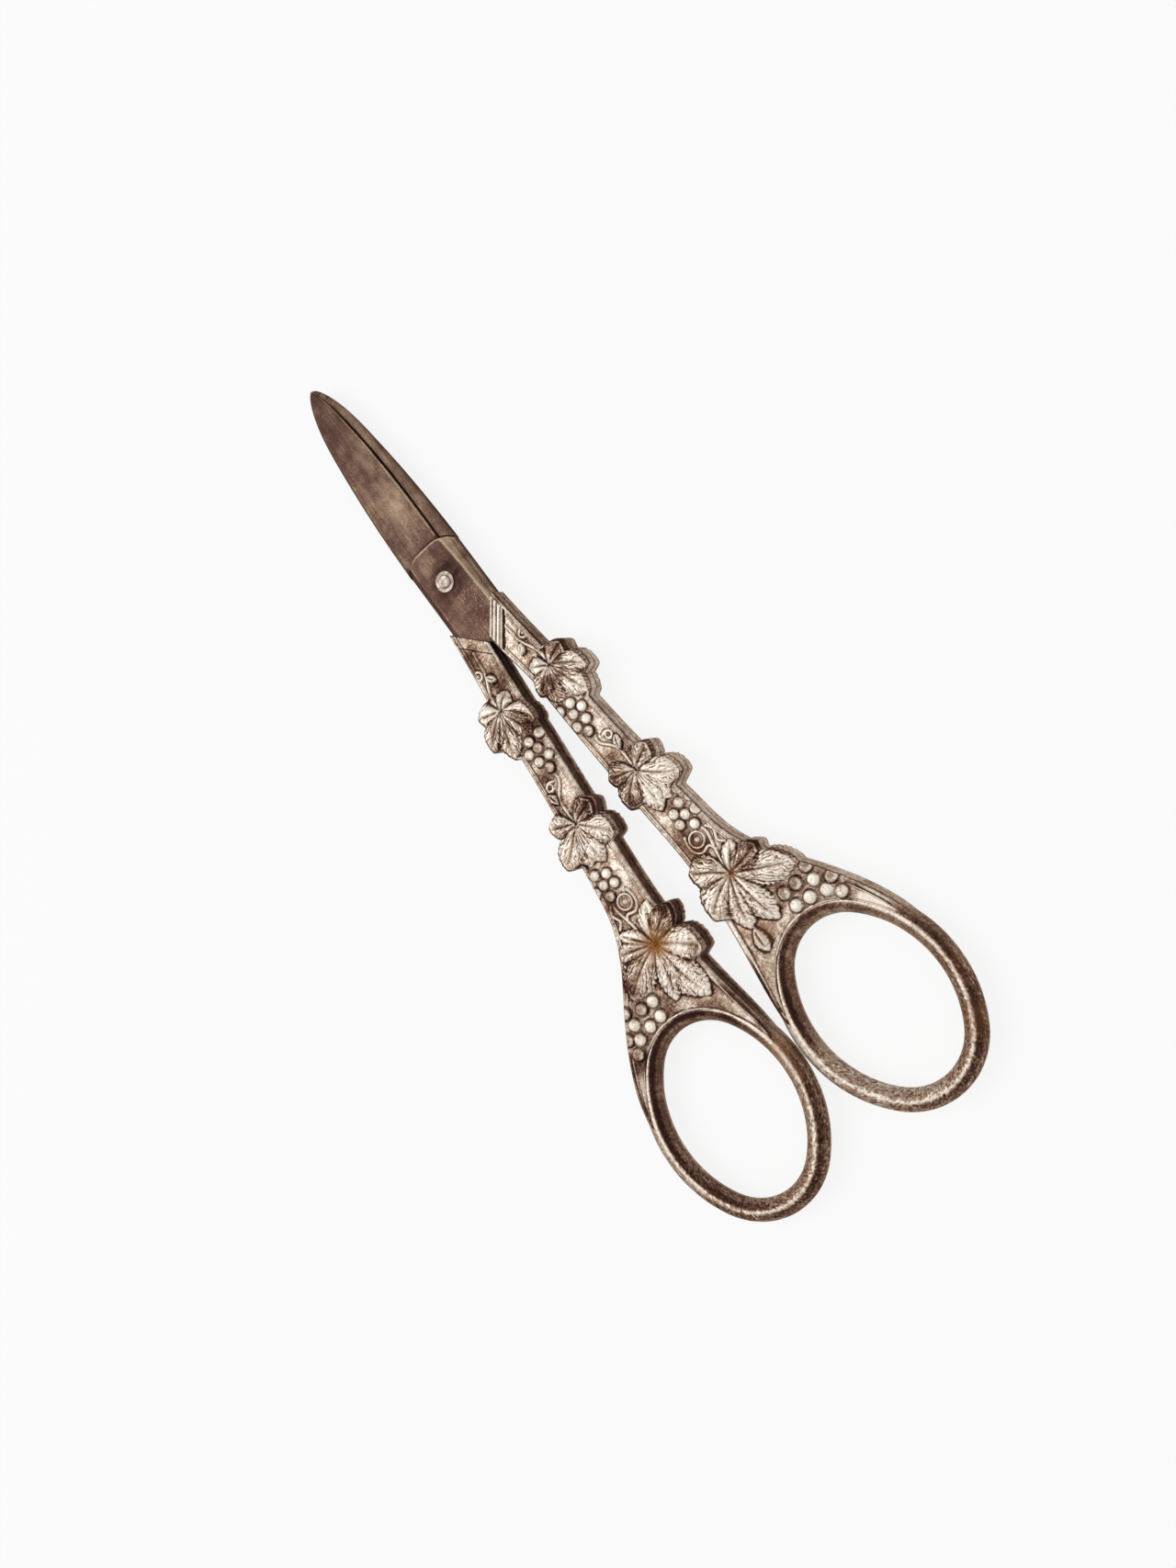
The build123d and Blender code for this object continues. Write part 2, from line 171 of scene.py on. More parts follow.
def lobeShape(x, y, heart, tip, width):
    # along runs 0 at the heart to 1 at the tip, side is the distance from the mid-vein, which bows a
    # little; the half width is a rounded wedge, fullest at 0.62, with teeth
    run = np.hypot(tip[0] - heart[0], tip[1] - heart[1])
    ux, uy = (tip[0] - heart[0]) / run, (tip[1] - heart[1]) / run
    along = ((x - heart[0]) * ux + (y - heart[1]) * uy) / run
    side = -(x - heart[0]) * uy + (y - heart[1]) * ux
    sway = vineLook["veinBow"] * run * math.sin(3.1 * tip[0] + 1.7 * tip[1])
    side = side - sway * np.sin(np.pi * np.clip(along, 0, 1))
    a = np.clip(along, 0.001, 0.999)
    full = np.sin(np.pi * a**1.25) ** 0.72
    teeth = 1 + vineLook["saw"] * (np.abs(((a * run / 0.9 + 0.25) % 1) * 2 - 1) - 0.5) * smoothStep(0.25, 0.5, a)
    half = np.maximum(width / 2 * full * teeth, 0.02)
    return along, side, half


def veinSlant(x, y, along, side):
    # counts up by 1 from one side vein to the next; the veins slant towards the tip
    return along * 3.3 - np.abs(side) * 0.95 + 0.3 * unevenness(x, y, 2.4, 17)


def lobeRise(x, y, heart, tip, width):
    # height above the sunk ground: a rim that stands up at once, a crown that swells in a long pillow
    # on each side of the mid-vein's groove, less short side veins that slant towards the tip
    along, side, half = lobeShape(x, y, heart, tip, width)
    across = np.abs(side) / half
    room = np.minimum((1 - across) * half, np.minimum(along, 1.02 - along) * 6)
    inside = smoothStep(-0.02, 0.24, room)
    dome = np.sqrt(np.clip(1 - across**2, 0, 1)) * np.sin(np.pi * np.clip(along, 0, 1) ** 0.8) ** 0.6
    pillow = np.sin(np.pi * np.clip(across, 0, 1) ** 0.75) ** 0.8
    crown = dome * (0.6 + 0.4 * pillow)
    mid = bell(side, 0.2) * smoothStep(0.9, 0.45, along) * smoothStep(0.02, 0.2, along)
    slant = veinSlant(x, y, along, side) % 1
    veins = bell(slant - 0.5, 0.13) * smoothStep(0.25, 0.75, across) * smoothStep(0.2, 0.45, along)
    rough = vineLook["leafRough"] * unevenness(x, y, 0.95, 23)
    top = vineLook["leafCrown"] * crown - vineLook["midVein"] * mid - vineLook["sideVein"] * veins + rough
    return inside, top


def leafRelief(x, y, side):
    # the highest lobe at each point, with how far inside a leaf the point is, 0 to 1. Where two
    # lobes of a leaf are equally high, a narrow crease is cut between them
    cover, top = np.zeros(x.shape), np.full(x.shape, -0.4)
    for heart, lobes in leaves[side]:
        rises = []
        for tipX, tipY, width, _ in lobes:
            inside, rise = lobeRise(x, y, heart, (tipX, tipY), width)
            rises.append(np.where(inside > 0, rise - (1 - inside) * 0.8, -1))
            cover = np.maximum(cover, inside)
        rises = np.sort(np.array(rises), axis=0)
        highest = rises[-1]
        if len(lobes) > 2:
            crease = bell(highest - rises[-2], 0.07) * (rises[-2] > -0.4)
            far = np.hypot(x - heart[0], y - heart[1])
            dip = vineLook["heartDip"] * bell(far, 0.8)
            highest = np.where(highest > -0.9, highest - vineLook["crease"] * crease - dip, highest)
            cover = np.maximum(cover, smoothStep(1.3, 0.9, far))
        top = np.maximum(top, highest)
    return cover, top


def ornament(x, y, ground, side):
    # leaves, vines, scrolls and grapes laid one on another over the ground
    z = ground

    def ridged(rise, far, width):
        # the surface with a ridge on it, an upturned parabola across the distance from its middle
        return softMax(z, vineLook["vineFoot"] + rise * (1 - (far / width) ** 2), vineLook["blend"])

    for line in vines:
        z = ridged(vineLook["vineRise"], nearest(x, y, smoothLine(line, 0.08)), vineLook["vineWidth"])
    for (cx, cy), radius, boss in scrolls:
        rho = np.hypot(x - cx, y - cy)
        z = ridged(vineLook["vineRise"], rho - radius, vineLook["scrollWidth"])
        if boss:
            z = ridged(vineLook["bossRise"], rho, boss)
    cover, top = leafRelief(x, y, side)
    leafZ = vineLook["leafRim"] + top
    z = np.where(cover > 0, z + (np.maximum(leafZ, z - 0.2) - z) * cover, z)
    for radius, places in bunches:
        for gx, gy in places:
            rho = np.clip(np.hypot(x - gx, y - gy) / (radius * vineLook["grapeSize"]), 0, 1)
            cap = (vineLook["grapeTop"] - vineLook["grapeFoot"]) * np.cos(np.pi / 2 * rho**2.5) ** 0.85
            z = np.where(rho < 1, np.maximum(z, vineLook["grapeFoot"] + cap), z)
    return np.minimum(z, vineLook["highest"])


# handle
handle = {
    "outer": [(5.76, -7.25), (6.6, -15.0), (8.05, -26.0), (9.1, -37.0), (10.4, -47.0), (12.0, -57.0),
              (13.3, -64.0), (16.4, -70.5), (20.6, -76.3), (25.2, -83.0), (28.8, -90.0), (30.9, -97.5),
              (31.2, -101.0)],
    "innerTop": {"right": [(0.22, -13.47), (0.85, -18.0), (1.7, -23.5), (2.0, -29.0), (2.35, -36.0)],
                 "left": [(0.22, -13.47), (0.7, -18.0), (1.2, -24.0), (1.65, -30.0), (2.2, -36.5)]},
    "innerLow": [(2.75, -43.0), (3.75, -56.0), (4.35, -66.0), (4.0, -74.0), (3.2, -81.0), (2.1, -88.0),
                 (0.75, -97.0), (0.35, -101.0)],
    "top": 2.35,  # half the stem's thickness, mm
    "round": 0.8,  # of its long edges
    "border": 0.98,  # width of the border outside the sunk panel
    "sunk": 0.3,  # depth of the panel
    "limbGroove": 0.12,
    "rowStep": 0.155,
    "innerColumns": 50,
    "outerColumns": 42,
    "thinning": 0.4,  # how much lower the face lies at the ring
    "veeArm": (5.7, 6.4),  # how far the vee's arm runs out and rises from the tip
    "veeTip": -13.7,  # height of the arm's foot
    "collar": 2.3,  # width of the ribbed collar along the arm
    "collarGroove": (0.45, 1.92),  # below it: width and height
    "ribFoot": 2.3,
    "ribRise": 0.3,
    "ribStep": 0.75,
    "split": 0.55,  # where a row's inner columns end, as a share of its width
    "limbEnd": -100.9,
    "leafOut": 4.4,  # the most that a leaf may stand out past the edge
}
bow = {
    "centre": (15.95, -100.6),
    "across": 13.75,  # half width of the centre line, mm
    "along": 17.4,
    "endRadius": 11.6,
    "lean": 7.3,  # degrees
    "thick": 1.95,  # radius of the ring's section
    "stepsRound": 300,
    "stepsSection": 26,
}


def bowLine(turn):
    # centre line of the finger bow by the direction, in radians, that its outside faces: an oval of
    # two wide side arcs and two end arcs, leaned over
    a, b, r = bow["across"], bow["along"], bow["endRadius"]
    side = (b * b + a * a - 2 * b * r) / (2 * (a - r))
    change = math.atan2(b - r, side - a)
    local = turn - math.radians(bow["lean"])
    atEnd = np.abs(np.sin(local)) > math.sin(change)
    cx = np.where(atEnd, 0, -np.sign(np.cos(local)) * (side - a))
    cy = np.where(atEnd, np.sign(np.sin(local)) * (b - r), 0)
    radius = np.where(atEnd, r, side)
    x, y = cx + radius * np.cos(local), cy + radius * np.sin(local)
    c, s = math.cos(math.radians(bow["lean"])), math.sin(math.radians(bow["lean"]))
    return np.stack([bow["centre"][0] + x * c - y * s, bow["centre"][1] + x * s + y * c], -1)


def acrossAt(line, y):
    # x of a line that runs down the handle, at the height y
    return np.interp(-y, -line[:, 1], line[:, 0])


def levelAt(y):
    # height of the stem's face, which sinks a little towards the ring
    return handle["top"] - handle["thinning"] * smoothStep(-80, -99, y)


def leafReach(x, y, nx, ny, side):
    # how far a leaf stands out past the stem's edge, along the edge's outward direction
    out = np.linspace(0, 5, 101)
    cover = leafRelief(x[:, None] + out * nx[:, None], y[:, None] + out * ny[:, None], side)[0]
    return (np.where(cover > 0.5, out, 0)).max(1)


def outlinesOf(side):
    # the stem's outer and inner edge as dense lines
    return smoothLine(handle["outer"], 0.1), smoothLine(handle["innerTop"][side] + handle["innerLow"], 0.1)


def stemSides(side):
    # the stem's two edges row by row, which run down at even steps, first along the vee's arm and then
    # less and less tilted, and its outer and inner edge as lines
    outer, inner = outlinesOf(side)
    low = np.arange(inner[0, 1], bowTop[1], -handle["rowStep"])
    low = np.append(low, bowTop[1])
    fall = np.clip((low[0] - low - 3.4) / 14, 0, 1)
    tilt = (outer[0, 1] - inner[0, 1]) * (1 - fall) ** 2
    left = np.stack([acrossAt(inner, low), low], -1)
    right = np.stack([acrossAt(outer, low + tilt), low + tilt], -1)
    return left, right, outer, inner


bowTop = bowLine(np.array([math.pi / 2]))[0]


# the two narrow vees where the panel runs out between the ring and the stem's edges
limbLines = [
    [(24.6, -83.1), (27.1, -87.9), (28.7, -92.2), (29.4, -94.9)],
    [(19.7, -84.1), (22.7, -85.5), (25.3, -88.8), (27.5, -92.1), (29.4, -94.9)],
    [(3.9, -80.0), (3.1, -85.3), (2.1, -91.6), (1.8, -95.5), (1.8, -97.6)],
    [(7.6, -85.7), (4.9, -88.8), (3.2, -92.2), (2.2, -95.4), (1.8, -97.6)],
]


def limbGroove(x, y):
    # 1 in the vees' lines, fading in from where they leave the panel's border
    far = np.full(x.shape, 9.0)
    for line in limbLines:
        far = np.minimum(far, nearest(x, y, smoothLine(line, 0.1)))
    return bell(far, 0.15) * smoothStep(-82, -86, y)


def stemHeight(x, y, collar, side):
    # the stem's face: its level, two beads along each edge, the sunk panel between them, and on the
    # blade's own side the ribs of the collar along the vee
    edge = nearest(x, y, np.concatenate(outlinesOf(side)))
    fromBow = np.where(y < bowTop[1] + 6, nearest(x, y, bowLine(np.linspace(0, 2 * np.pi, 400))), 9)
    border = np.minimum(edge, fromBow + 0.5)
    beads = -0.13 * bell(border - 0.5, 0.09) - 0.05 * bell(border - 0.8, 0.06)
    panel = -handle["sunk"] * smoothStep(handle["border"] - 0.05, handle["border"] + 0.22, border)
    swell = 0.035 * unevenness(x, y, 2.6, 4) * smoothStep(1.0, 1.4, border)
    ground = levelAt(y) + beads + panel + swell
    z = ornament(x, y, ground, side) - handle["limbGroove"] * limbGroove(x, y)
    run, rise = handle["veeArm"]
    fromArm = (x * rise - (y - handle["veeTip"]) * run) / math.hypot(run, rise)
    if collar:
        wave = np.abs(np.cos(np.pi * (fromArm - 0.05) / handle["ribStep"]))
        z = np.where(fromArm < handle["collar"] + handle["collarGroove"][0], handle["collarGroove"][1], z)
        z = np.where(fromArm < handle["collar"], handle["ribFoot"] + handle["ribRise"] * wave**0.6, z)
    else:
        z = z - 0.16 * bell(fromArm - 1.9, 0.09) * smoothStep(0.3, 0.9, edge)
    drop = smoothStep(0.55, -0.1, fromBow) ** 2 * 1.2
    return z - np.where(y < bowTop[1] + 1.5, drop, 0)


# a side wall from the seam's groove up to where its edge starts to round, as shares of its height and
# as inset in mm, and the angles of the rounded edge
wallUp = np.array([0, 0.09, 0.16, 0.5, 0.75, 1])
wallIn = np.array([0.13, 0.05, 0, 0, 0, 0])
edgeArc = np.linspace(0, np.pi / 2, 7)[1:-1]


def raiseWall(z, y, rounds):
    # heights of a wall and of its rounded edge, written into a grid's first columns
    wall, edge = slice(len(wallUp)), slice(len(wallUp), len(wallUp) + len(edgeArc))
    z[:, edge] = levelAt(y[:, edge]) + rounds * (np.sin(edgeArc) - 1)
    z[:, wall] = (levelAt(y[:, wall]) - rounds) * wallUp


def stemGrid(left, right, split, collar, side):
    # one row per step down the handle. Each row climbs the left wall, rounds its edge by a quarter
    # circle, crosses the face evenly to the split and on to the right, and goes down the other wall
    way = right - left
    width = np.hypot(way[:, 0], way[:, 1])[:, None]
    way = way / width
    split = split[:, None] * width
    corner = np.minimum(handle["round"], width / 2) * (1 - np.cos(edgeArc))
    flatIn = np.minimum(handle["round"], width / 2 * 0.98)
    first = flatIn + (split - flatIn) * np.linspace(0, 1, handle["innerColumns"])
    second = split + (width - flatIn - split) * np.linspace(0, 1, handle["outerColumns"] + 1)[1:]
    t = np.concatenate([wallIn + 0 * width, corner, first, second, width - corner[:, ::-1],
                        width - wallIn[::-1]], 1)
    x = left[:, :1] + way[:, :1] * t
    y = left[:, 1:] + way[:, 1:] * t
    z = stemHeight(x, y, collar, side)
    raiseWall(z, y, handle["round"])
    raiseWall(z[:, ::-1], y[:, ::-1], handle["round"])
    return np.stack([x, y, z], -1)


def quads(rows, columns, start=0, loopRows=False, loopColumns=False):
    # quads between neighbouring rows and columns, which may run on into loops
    i, j = np.meshgrid(np.arange(rows - 1 + loopRows), np.arange(columns - 1 + loopColumns), indexing="ij")
    nextI, nextJ = (i + 1) % rows, (j + 1) % columns
    corners = [i * columns + j, nextI * columns + j, nextI * columns + nextJ, i * columns + nextJ]
    return (start + np.stack(corners, -1).reshape(-1, 4)).tolist()


def closedGrid(grid, splitColumn):
    # the grid's face and walls, its flat back at the seam, and a cap, in two flat halves, on its
    # first and last rows
    rows, columns = grid.shape[:2]
    back = grid[:, [0, splitColumn, columns - 1]].copy()
    back[..., 2] = 0
    points = np.concatenate([grid.reshape(-1, 3), back.reshape(-1, 3)])
    base = rows * columns
    faces = quads(rows, columns) + [face[::-1] for face in quads(rows, 3, base)]
    caps = []
    for row in (0, rows - 1):
        first, foot, middle = row * columns, base + row * 3, row * columns + splitColumn
        caps.append([[*range(first, middle + 1), foot + 1, foot],
                     [*range(middle, first + columns), foot + 2, foot + 1]])
    return points, faces, caps[0], caps[1]


def bowTube():
    # front half of the ring: a half circle carried round the bow's centre line, with a flat back
    turn = np.linspace(0, 2 * np.pi, bow["stepsRound"], endpoint=False)
    around = np.linspace(0, np.pi, bow["stepsSection"])
    line = bowLine(turn)
    wear = 0.02 * unevenness(line[:, 0], line[:, 1], 9, 8)
    reach = (bow["thick"] - 0.015 + np.minimum(wear, 0.0))[:, None] * np.cos(around)
    lift = (bow["thick"] + wear)[:, None] * np.sin(around)
    reach = reach - np.where(lift < 0.1, 0.06, 0) * np.sign(np.cos(around))
    outX, outY = np.cos(turn)[:, None], np.sin(turn)[:, None]
    points = np.stack([line[:, :1] + outX * reach, line[:, 1:] + outY * reach, lift], -1)
    normal = np.stack(np.broadcast_arrays(outX * np.cos(around), outY * np.cos(around), np.sin(around)), -1)
    return points.reshape(-1, 3), normal.reshape(-1, 3)


def blurred(grid, reach):
    # running mean over a square of rows and columns
    padded = np.pad(grid, reach, mode="edge").cumsum(0).cumsum(1)
    padded = np.pad(padded, ((1, 0), (1, 0)))
    n = 2 * reach + 1
    total = padded[n:, n:] - padded[:-n, n:] - padded[n:, :-n] + padded[:-n, :-n]
    return total / n**2


# how dark each part is painted, 0 pale to 1 dark: tarnish in the hollows, with painted shade in recesses, on the side
# walls and on the ring's flanks, and painted highlight on crowns, edges and leaf pillows
tarnishAndShade = {
    "flat": 0.29,  # of a plain face; 0 is a bright crown, 1 the bottom of a recess
    "sharp": 4.2,  # weight of the relief close by
    "broad": 0.55,  # and of the relief further round
    "lowest": 1.95,  # heights below this count as this high
    "backRing": 0.7,
    "ringGrain": 0.13,  # pits of the ring's low half
    "ring": {"right": 0.33, "left": 0.3},
    "lowRing": {"right": 0.03, "left": 0.1},  # more tarnish at the ring's low end
    "grape": {"right": 0.2, "left": 0.24},
    "betweenGrapes": 0.44,
    "leaf": 0.07,
    "leafStroke": 0.55,  # more in the side veins and halfway between them
    "leafHighlight": 0.26,  # a painted highlight on a lobe's pillows
    "leafSoft": 0.35,  # share by which a leaf's own relief shows less
    # painted shade and tarnish of the side walls from the seam's groove up to where the edge rounds, on the front and
    # the back shell
    "innerWallShade": {"right": [1, 0.3, 0.4, 0.5, 0.55, 0.55, 0.6, 0.8],
                  "left": [1, 0.95, 0.86, 0.84, 0.84, 0.8, 0.62, 0.3]},
    "outerWallShade": {"right": [1, 0.2, 0.26, 0.3, 0.32, 0.36, 0.5, 0.74],
                  "left": [1, 0.4, 0.42, 0.45, 0.45, 0.45, 0.5, 0.7]},
    "backInnerWallShade": {"right": [1, 0.6, 0.5, 0.45, 0.45, 0.5, 0.6, 0.75],
                      "left": [1, 0.85, 0.74, 0.66, 0.52, 0.3, 0.42, 0.85]},
    "backOuterWallShade": {"right": [1, 0.4, 0.32, 0.28, 0.28, 0.36, 0.6, 0.85],
                      "left": [1, 0.5, 0.4, 0.35, 0.35, 0.4, 0.6, 0.8]},
    "edgeRub": 0.14,  # less along the very edge
    "limbLine": 0.62,
    "borderStrip": 0.28,  # more between the edge and the panel
}


# duller patches by place on the right handle's pattern, size in mm and depth; paler where below 0
dullPatches = {
    "right": [((6.2, -60.5), 1.8, 0.24), ((6.5, -64.0), 1.6, 0.24), ((7.5, -61.3), 1.8, 0.14),
              ((9.8, -42.5), 1.0, 0.25), ((5.2, -42.8), 1.2, 0.3), ((3.4, -46.5), 1.3, 0.25),
              ((3.6, -51.5), 1.3, 0.25), ((16.2, -69.6), 1.3, 0.4), ((15.0, -78.3), 1.3, 0.3),
              ((17.6, -78.4), 1.0, 0.25), ((9.5, -22.3), 1.6, 0.25), ((4.5, -27.0), 1.9, 0.2),
              ((7.5, -26.5), 2.0, 0.2), ((26.3, -88.5), 3.0, -0.44), ((22.0, -84.0), 1.2, -0.15),
              ((11.5, -36.0), 1.4, -0.1), ((3.2, -88.0), 3.0, 0.08), ((9.8, -60.8), 1.3, -0.18)],
    "left": [((3.4, -11.6), 2.0, 0.28), ((2.8, -17.0), 2.4, 0.14), ((5.4, -13.5), 2.2, 0.34),
             ((7.0, -37.5), 1.6, 0.34), ((7.8, -41.8), 1.3, 0.32), ((2.5, -46.5), 1.9, 0.5),
             ((2.0, -52.0), 1.2, 0.3), ((11.2, -62.0), 1.4, 0.42), ((12.2, -65.0), 1.2, 0.2),
             ((3.2, -68.0), 1.5, 0.5), ((2.8, -76.0), 1.3, 0.35), ((17.5, -73.8), 1.7, 0.45),
             ((24.5, -85.5), 1.9, 0.35), ((13.2, -81.8), 1.4, 0.28), ((3.0, -20.5), 2.0, 0.35),
             ((3.0, -29.5), 2.2, 0.3), ((9.3, -28.5), 1.5, 0.1), ((5.5, -74.5), 1.6, -0.2),
             ((6.5, -59.0), 2.4, -0.12), ((7.6, -86.2), 2.2, 0.42), ((4.8, -86.5), 2.4, 0.12),
             ((7.5, -77.5), 1.4, -0.1)],
}


def toned(x, y, value, side):
    # tarnish of single parts laid over the value from the relief: each lobe's own tone with a painted highlight on
    # its pillows, the patches, and the grapes, each an even disc with a rim of painted shade and a crescent of
    # painted highlight on its lower right
    tones, onLeaf = np.zeros(x.shape), np.zeros(x.shape)
    for heart, lobes in leaves[side]:
        for tipX, tipY, width, tone in lobes:
            along, away, half = lobeShape(x, y, heart, (tipX, tipY), width)
            inside = smoothStep(0, 0.3, half - np.abs(away)) * smoothStep(0.1, 0.4, along) * (along < 1)
            across = np.abs(away) / half
            # a painted highlight on each pillow of the lobe
            paleAndHighlit = bell(along - 0.58, 0.24) * bell(across - 0.42, 0.26)
            strokes = bell((2 * veinSlant(x, y, along, away) + 0.5) % 1 - 0.5, 0.15) * smoothStep(3.2, 5.2, width)
            strokes = strokes * smoothStep(0.08, 0.3, across) * smoothStep(0.15, 0.35, along)
            own = tone + tarnishAndShade["leaf"] - tarnishAndShade["leafHighlight"] * paleAndHighlit + tarnishAndShade["leafStroke"] * strokes
            tones = tones + own * inside
            onLeaf = np.maximum(onLeaf, inside)
    value = value - tarnishAndShade["leafSoft"] * (value - tarnishAndShade["flat"]) * onLeaf + tones
    sideways = 1 if side == "right" else -1
    for radius, places in bunches:
        for gx, gy in places:
            dx, dy = (x - gx) * sideways / radius, (y - gy) / radius
            rho = np.hypot(dx, dy)
            shade = tarnishAndShade["grape"][side] + 0.12 * math.sin(gx * 5.1 + gy * 3.7) + 0.06 * bell(rho, 0.4)
            # the crescent is a painted highlight on the grape's lower right, and the dark rim in the disc is painted
            # shade
            crescentHighlight = bell(rho - 0.55, 0.22) * np.clip(dx * 0.7 - dy * 0.7, 0, 1)
            disc = shade + 0.75 * bell(rho - 0.97, 0.14) - 0.45 * crescentHighlight
            value = np.where(rho < 1.6, np.minimum(value, tarnishAndShade["betweenGrapes"]), value)
            value = value + (disc - value) * smoothStep(1.1, 0.95, rho)
    for (px, py), size, depth in dullPatches[side]:
        value = value + depth * bell(np.hypot(x - px, y - py), size)
    return value


def normalsOf(grid):
    # unit normals of a grid of points, from its rows' and columns' directions
    square = np.cross(np.gradient(grid, axis=0), np.gradient(grid, axis=1))
    square *= np.sign(square[..., 2:] + 1e-9)
    return square / np.maximum(np.linalg.norm(square, axis=-1, keepdims=True), 1e-9)


def shadeAndTarnishOf(grid, leftWall, rightWall, side):
    # how dark the face is painted, 0 on crowns to 1 deep in a corner: from how far the face lies below its
    # surroundings, its mean height near by and further round, less its own, which gives tarnish in the hollows,
    # painted shade in recesses and painted highlight on crowns.
    # The walls take the table's painted shade and tarnish from the groove up, and the limbs take the ring's painted
    # shade and tarnish at their ends
    z = np.maximum(grid[..., 2], tarnishAndShade["lowest"])
    value = tarnishAndShade["flat"] + tarnishAndShade["sharp"] * (blurred(z, 2) - z) + tarnishAndShade["broad"] * (blurred(z, 9) - z)
    x, y = grid[..., 0], grid[..., 1]
    edge = nearest(x, y, np.concatenate(outlinesOf(side)))
    strip = tarnishAndShade["borderStrip"] * smoothStep(0.2, 0.4, edge) * smoothStep(1.0, 0.8, edge)
    strip = strip - tarnishAndShade["edgeRub"] * smoothStep(0.35, 0.1, edge)
    level = levelAt(y)
    value = value + strip * smoothStep(level + 0.12, level + 0.02, z) * smoothStep(-97, -90, y)
    value = toned(x, y, value, side)
    # the right wall's columns are reached by looking at the grid the other way round
    walls = [row for row in ((leftWall, value, y), (rightWall, value[:, ::-1], y[:, ::-1])) if row[0]]
    for wall, shade, height in walls:
        # painted shade of the walls, darker towards the top of the handle
        shade[:, :len(wall)] = np.array(wall) + 0.25 * smoothStep(-32, -14, height[:, :len(wall)])
    value += (ringShadeAndTarnish(x, y, normalsOf(grid), side) - value) * smoothStep(-88, -96.5, y)
    value += tarnishAndShade["limbLine"] * limbGroove(x, y) ** 0.45
    for _, shade, _ in walls:
        shade[:, 0] = 1
    return np.clip(value, 0, 1)


# painted shade on the ring by the direction from its centre in degrees: on its inner and its outer flank
ringFlankShade = {
    "right": ([0, 10, 55, 100, 145, 170, 190, 235, 280, 325, 360],
              [0.26, 0.22, 0.3, 0.48, 0.7, 0.55, 0.2, 0.1, 0.14, 0.32, 0.26],
              [0.54, 0.52, 0.26, 0.02, -0.08, -0.08, 0.0, 0.14, 0.44, 0.62, 0.54]),
    "left": ([0, 35, 80, 125, 170, 215, 260, 305, 350, 360],
             [0.66, 0.7, 0.68, 0.62, 0.16, 0.12, 0.14, 0.46, 0.6, 0.66],
             [0.05, 0.1, 0.05, 0.12, 0.44, 0.5, 0.44, 0.24, 0.1, 0.05]),
}


def ringShadeAndTarnish(x, y, normal, side):
    # a thin painted highlight along the crown, then on each flank a band of painted shade as deep as the table says
    # for that part of the ring, with a paler rim beyond it, over the ring's own tarnish. At the ring's top the
    # highlight lies further out
    turn = np.arctan2(y - bow["centre"][1], x - bow["centre"][0])
    flank = normal[..., 0] * np.cos(turn) + normal[..., 1] * np.sin(turn)
    places, inner, outer = ringFlankShade[side]
    degrees = np.degrees(turn) % 360
    depth = np.where(flank < 0.1, np.interp(degrees, places, inner), np.interp(degrees, places, outer))
    lean = np.abs(flank - 0.26 * bell(degrees - 100, 40))
    band = depth * smoothStep(0.08, 0.3, lean) * (1 - 0.5 * smoothStep(0.55, 0.8, lean))
    low = tarnishAndShade["lowRing"][side] * smoothStep(-103, -113, y)
    return np.clip(tarnishAndShade["ring"][side] + band - 0.2 * bell(lean, 0.16) + low, 0, 1)


def stampingMesh(collar, side):
    # one stamping of the right handle, front: stem down to the bow's top, and two limbs beside the ring
    left, right, outer, inner = stemSides(side)
    limbLow = np.arange(bowTop[1], handle["limbEnd"], -handle["rowStep"] * 1.05)

    def widened(edge, line, outwards):
        # an edge of the stem, carried on down the limb and moved out to where a leaf stands past it
        points = np.concatenate([edge, np.stack([acrossAt(line, limbLow), limbLow], -1)[1:]])
        way = np.gradient(points, axis=0)
        way /= np.hypot(way[:, 0], way[:, 1])[:, None]
        way = np.stack([-way[:, 1], way[:, 0]], -1) * outwards
        kernel = np.hanning(5)
        reach = leafReach(points[:, 0], points[:, 1], way[:, 0], way[:, 1], side)
        reach = np.convolve(reach, kernel / kernel.sum(), "same")
        reach[:3] = 0
        points = points + way * np.minimum(reach, handle["leafOut"])[:, None]
        return points[:len(edge)], points[len(edge) - 1:]

    left, innerEdge = widened(left, inner, -1)
    right, outerEdge = widened(right, outer, 1)
    last = np.hypot(*(bowTop - left[-1])) / np.hypot(*(right[-1] - left[-1]))
    share = handle["split"] + (last - handle["split"]) * smoothStep(0.6, 1, np.linspace(0, 1, len(left)))
    share[-1] = last  # the last row's split is the bow's top, where the limbs part
    main = stemGrid(left, right, share, collar, side)

    ring = bowLine(np.linspace(0, 2 * np.pi, 3000))
    ring = ring[ring[:, 1] > handle["limbEnd"] - 0.3]
    limbRound = handle["round"] + (bow["thick"] - 0.05 - handle["round"]) * smoothStep(-88, -99, limbLow)
    limbs = []
    for free, half, columns in ((innerEdge, ring[ring[:, 0] < bowTop[0]], handle["innerColumns"]),
                                (outerEdge, ring[ring[:, 0] >= bowTop[0]], handle["outerColumns"] + 1)):
        half = half[half[:, 1].argsort()]
        held = np.stack([np.interp(limbLow, half[:, 1], half[:, 0]), limbLow], -1)
        held[0, 0] = bowTop[0]
        limbs.append(limbGrid(free, held, columns, limbRound[:, None], collar, side))
    return main, limbs[0], limbs[1][:, ::-1]


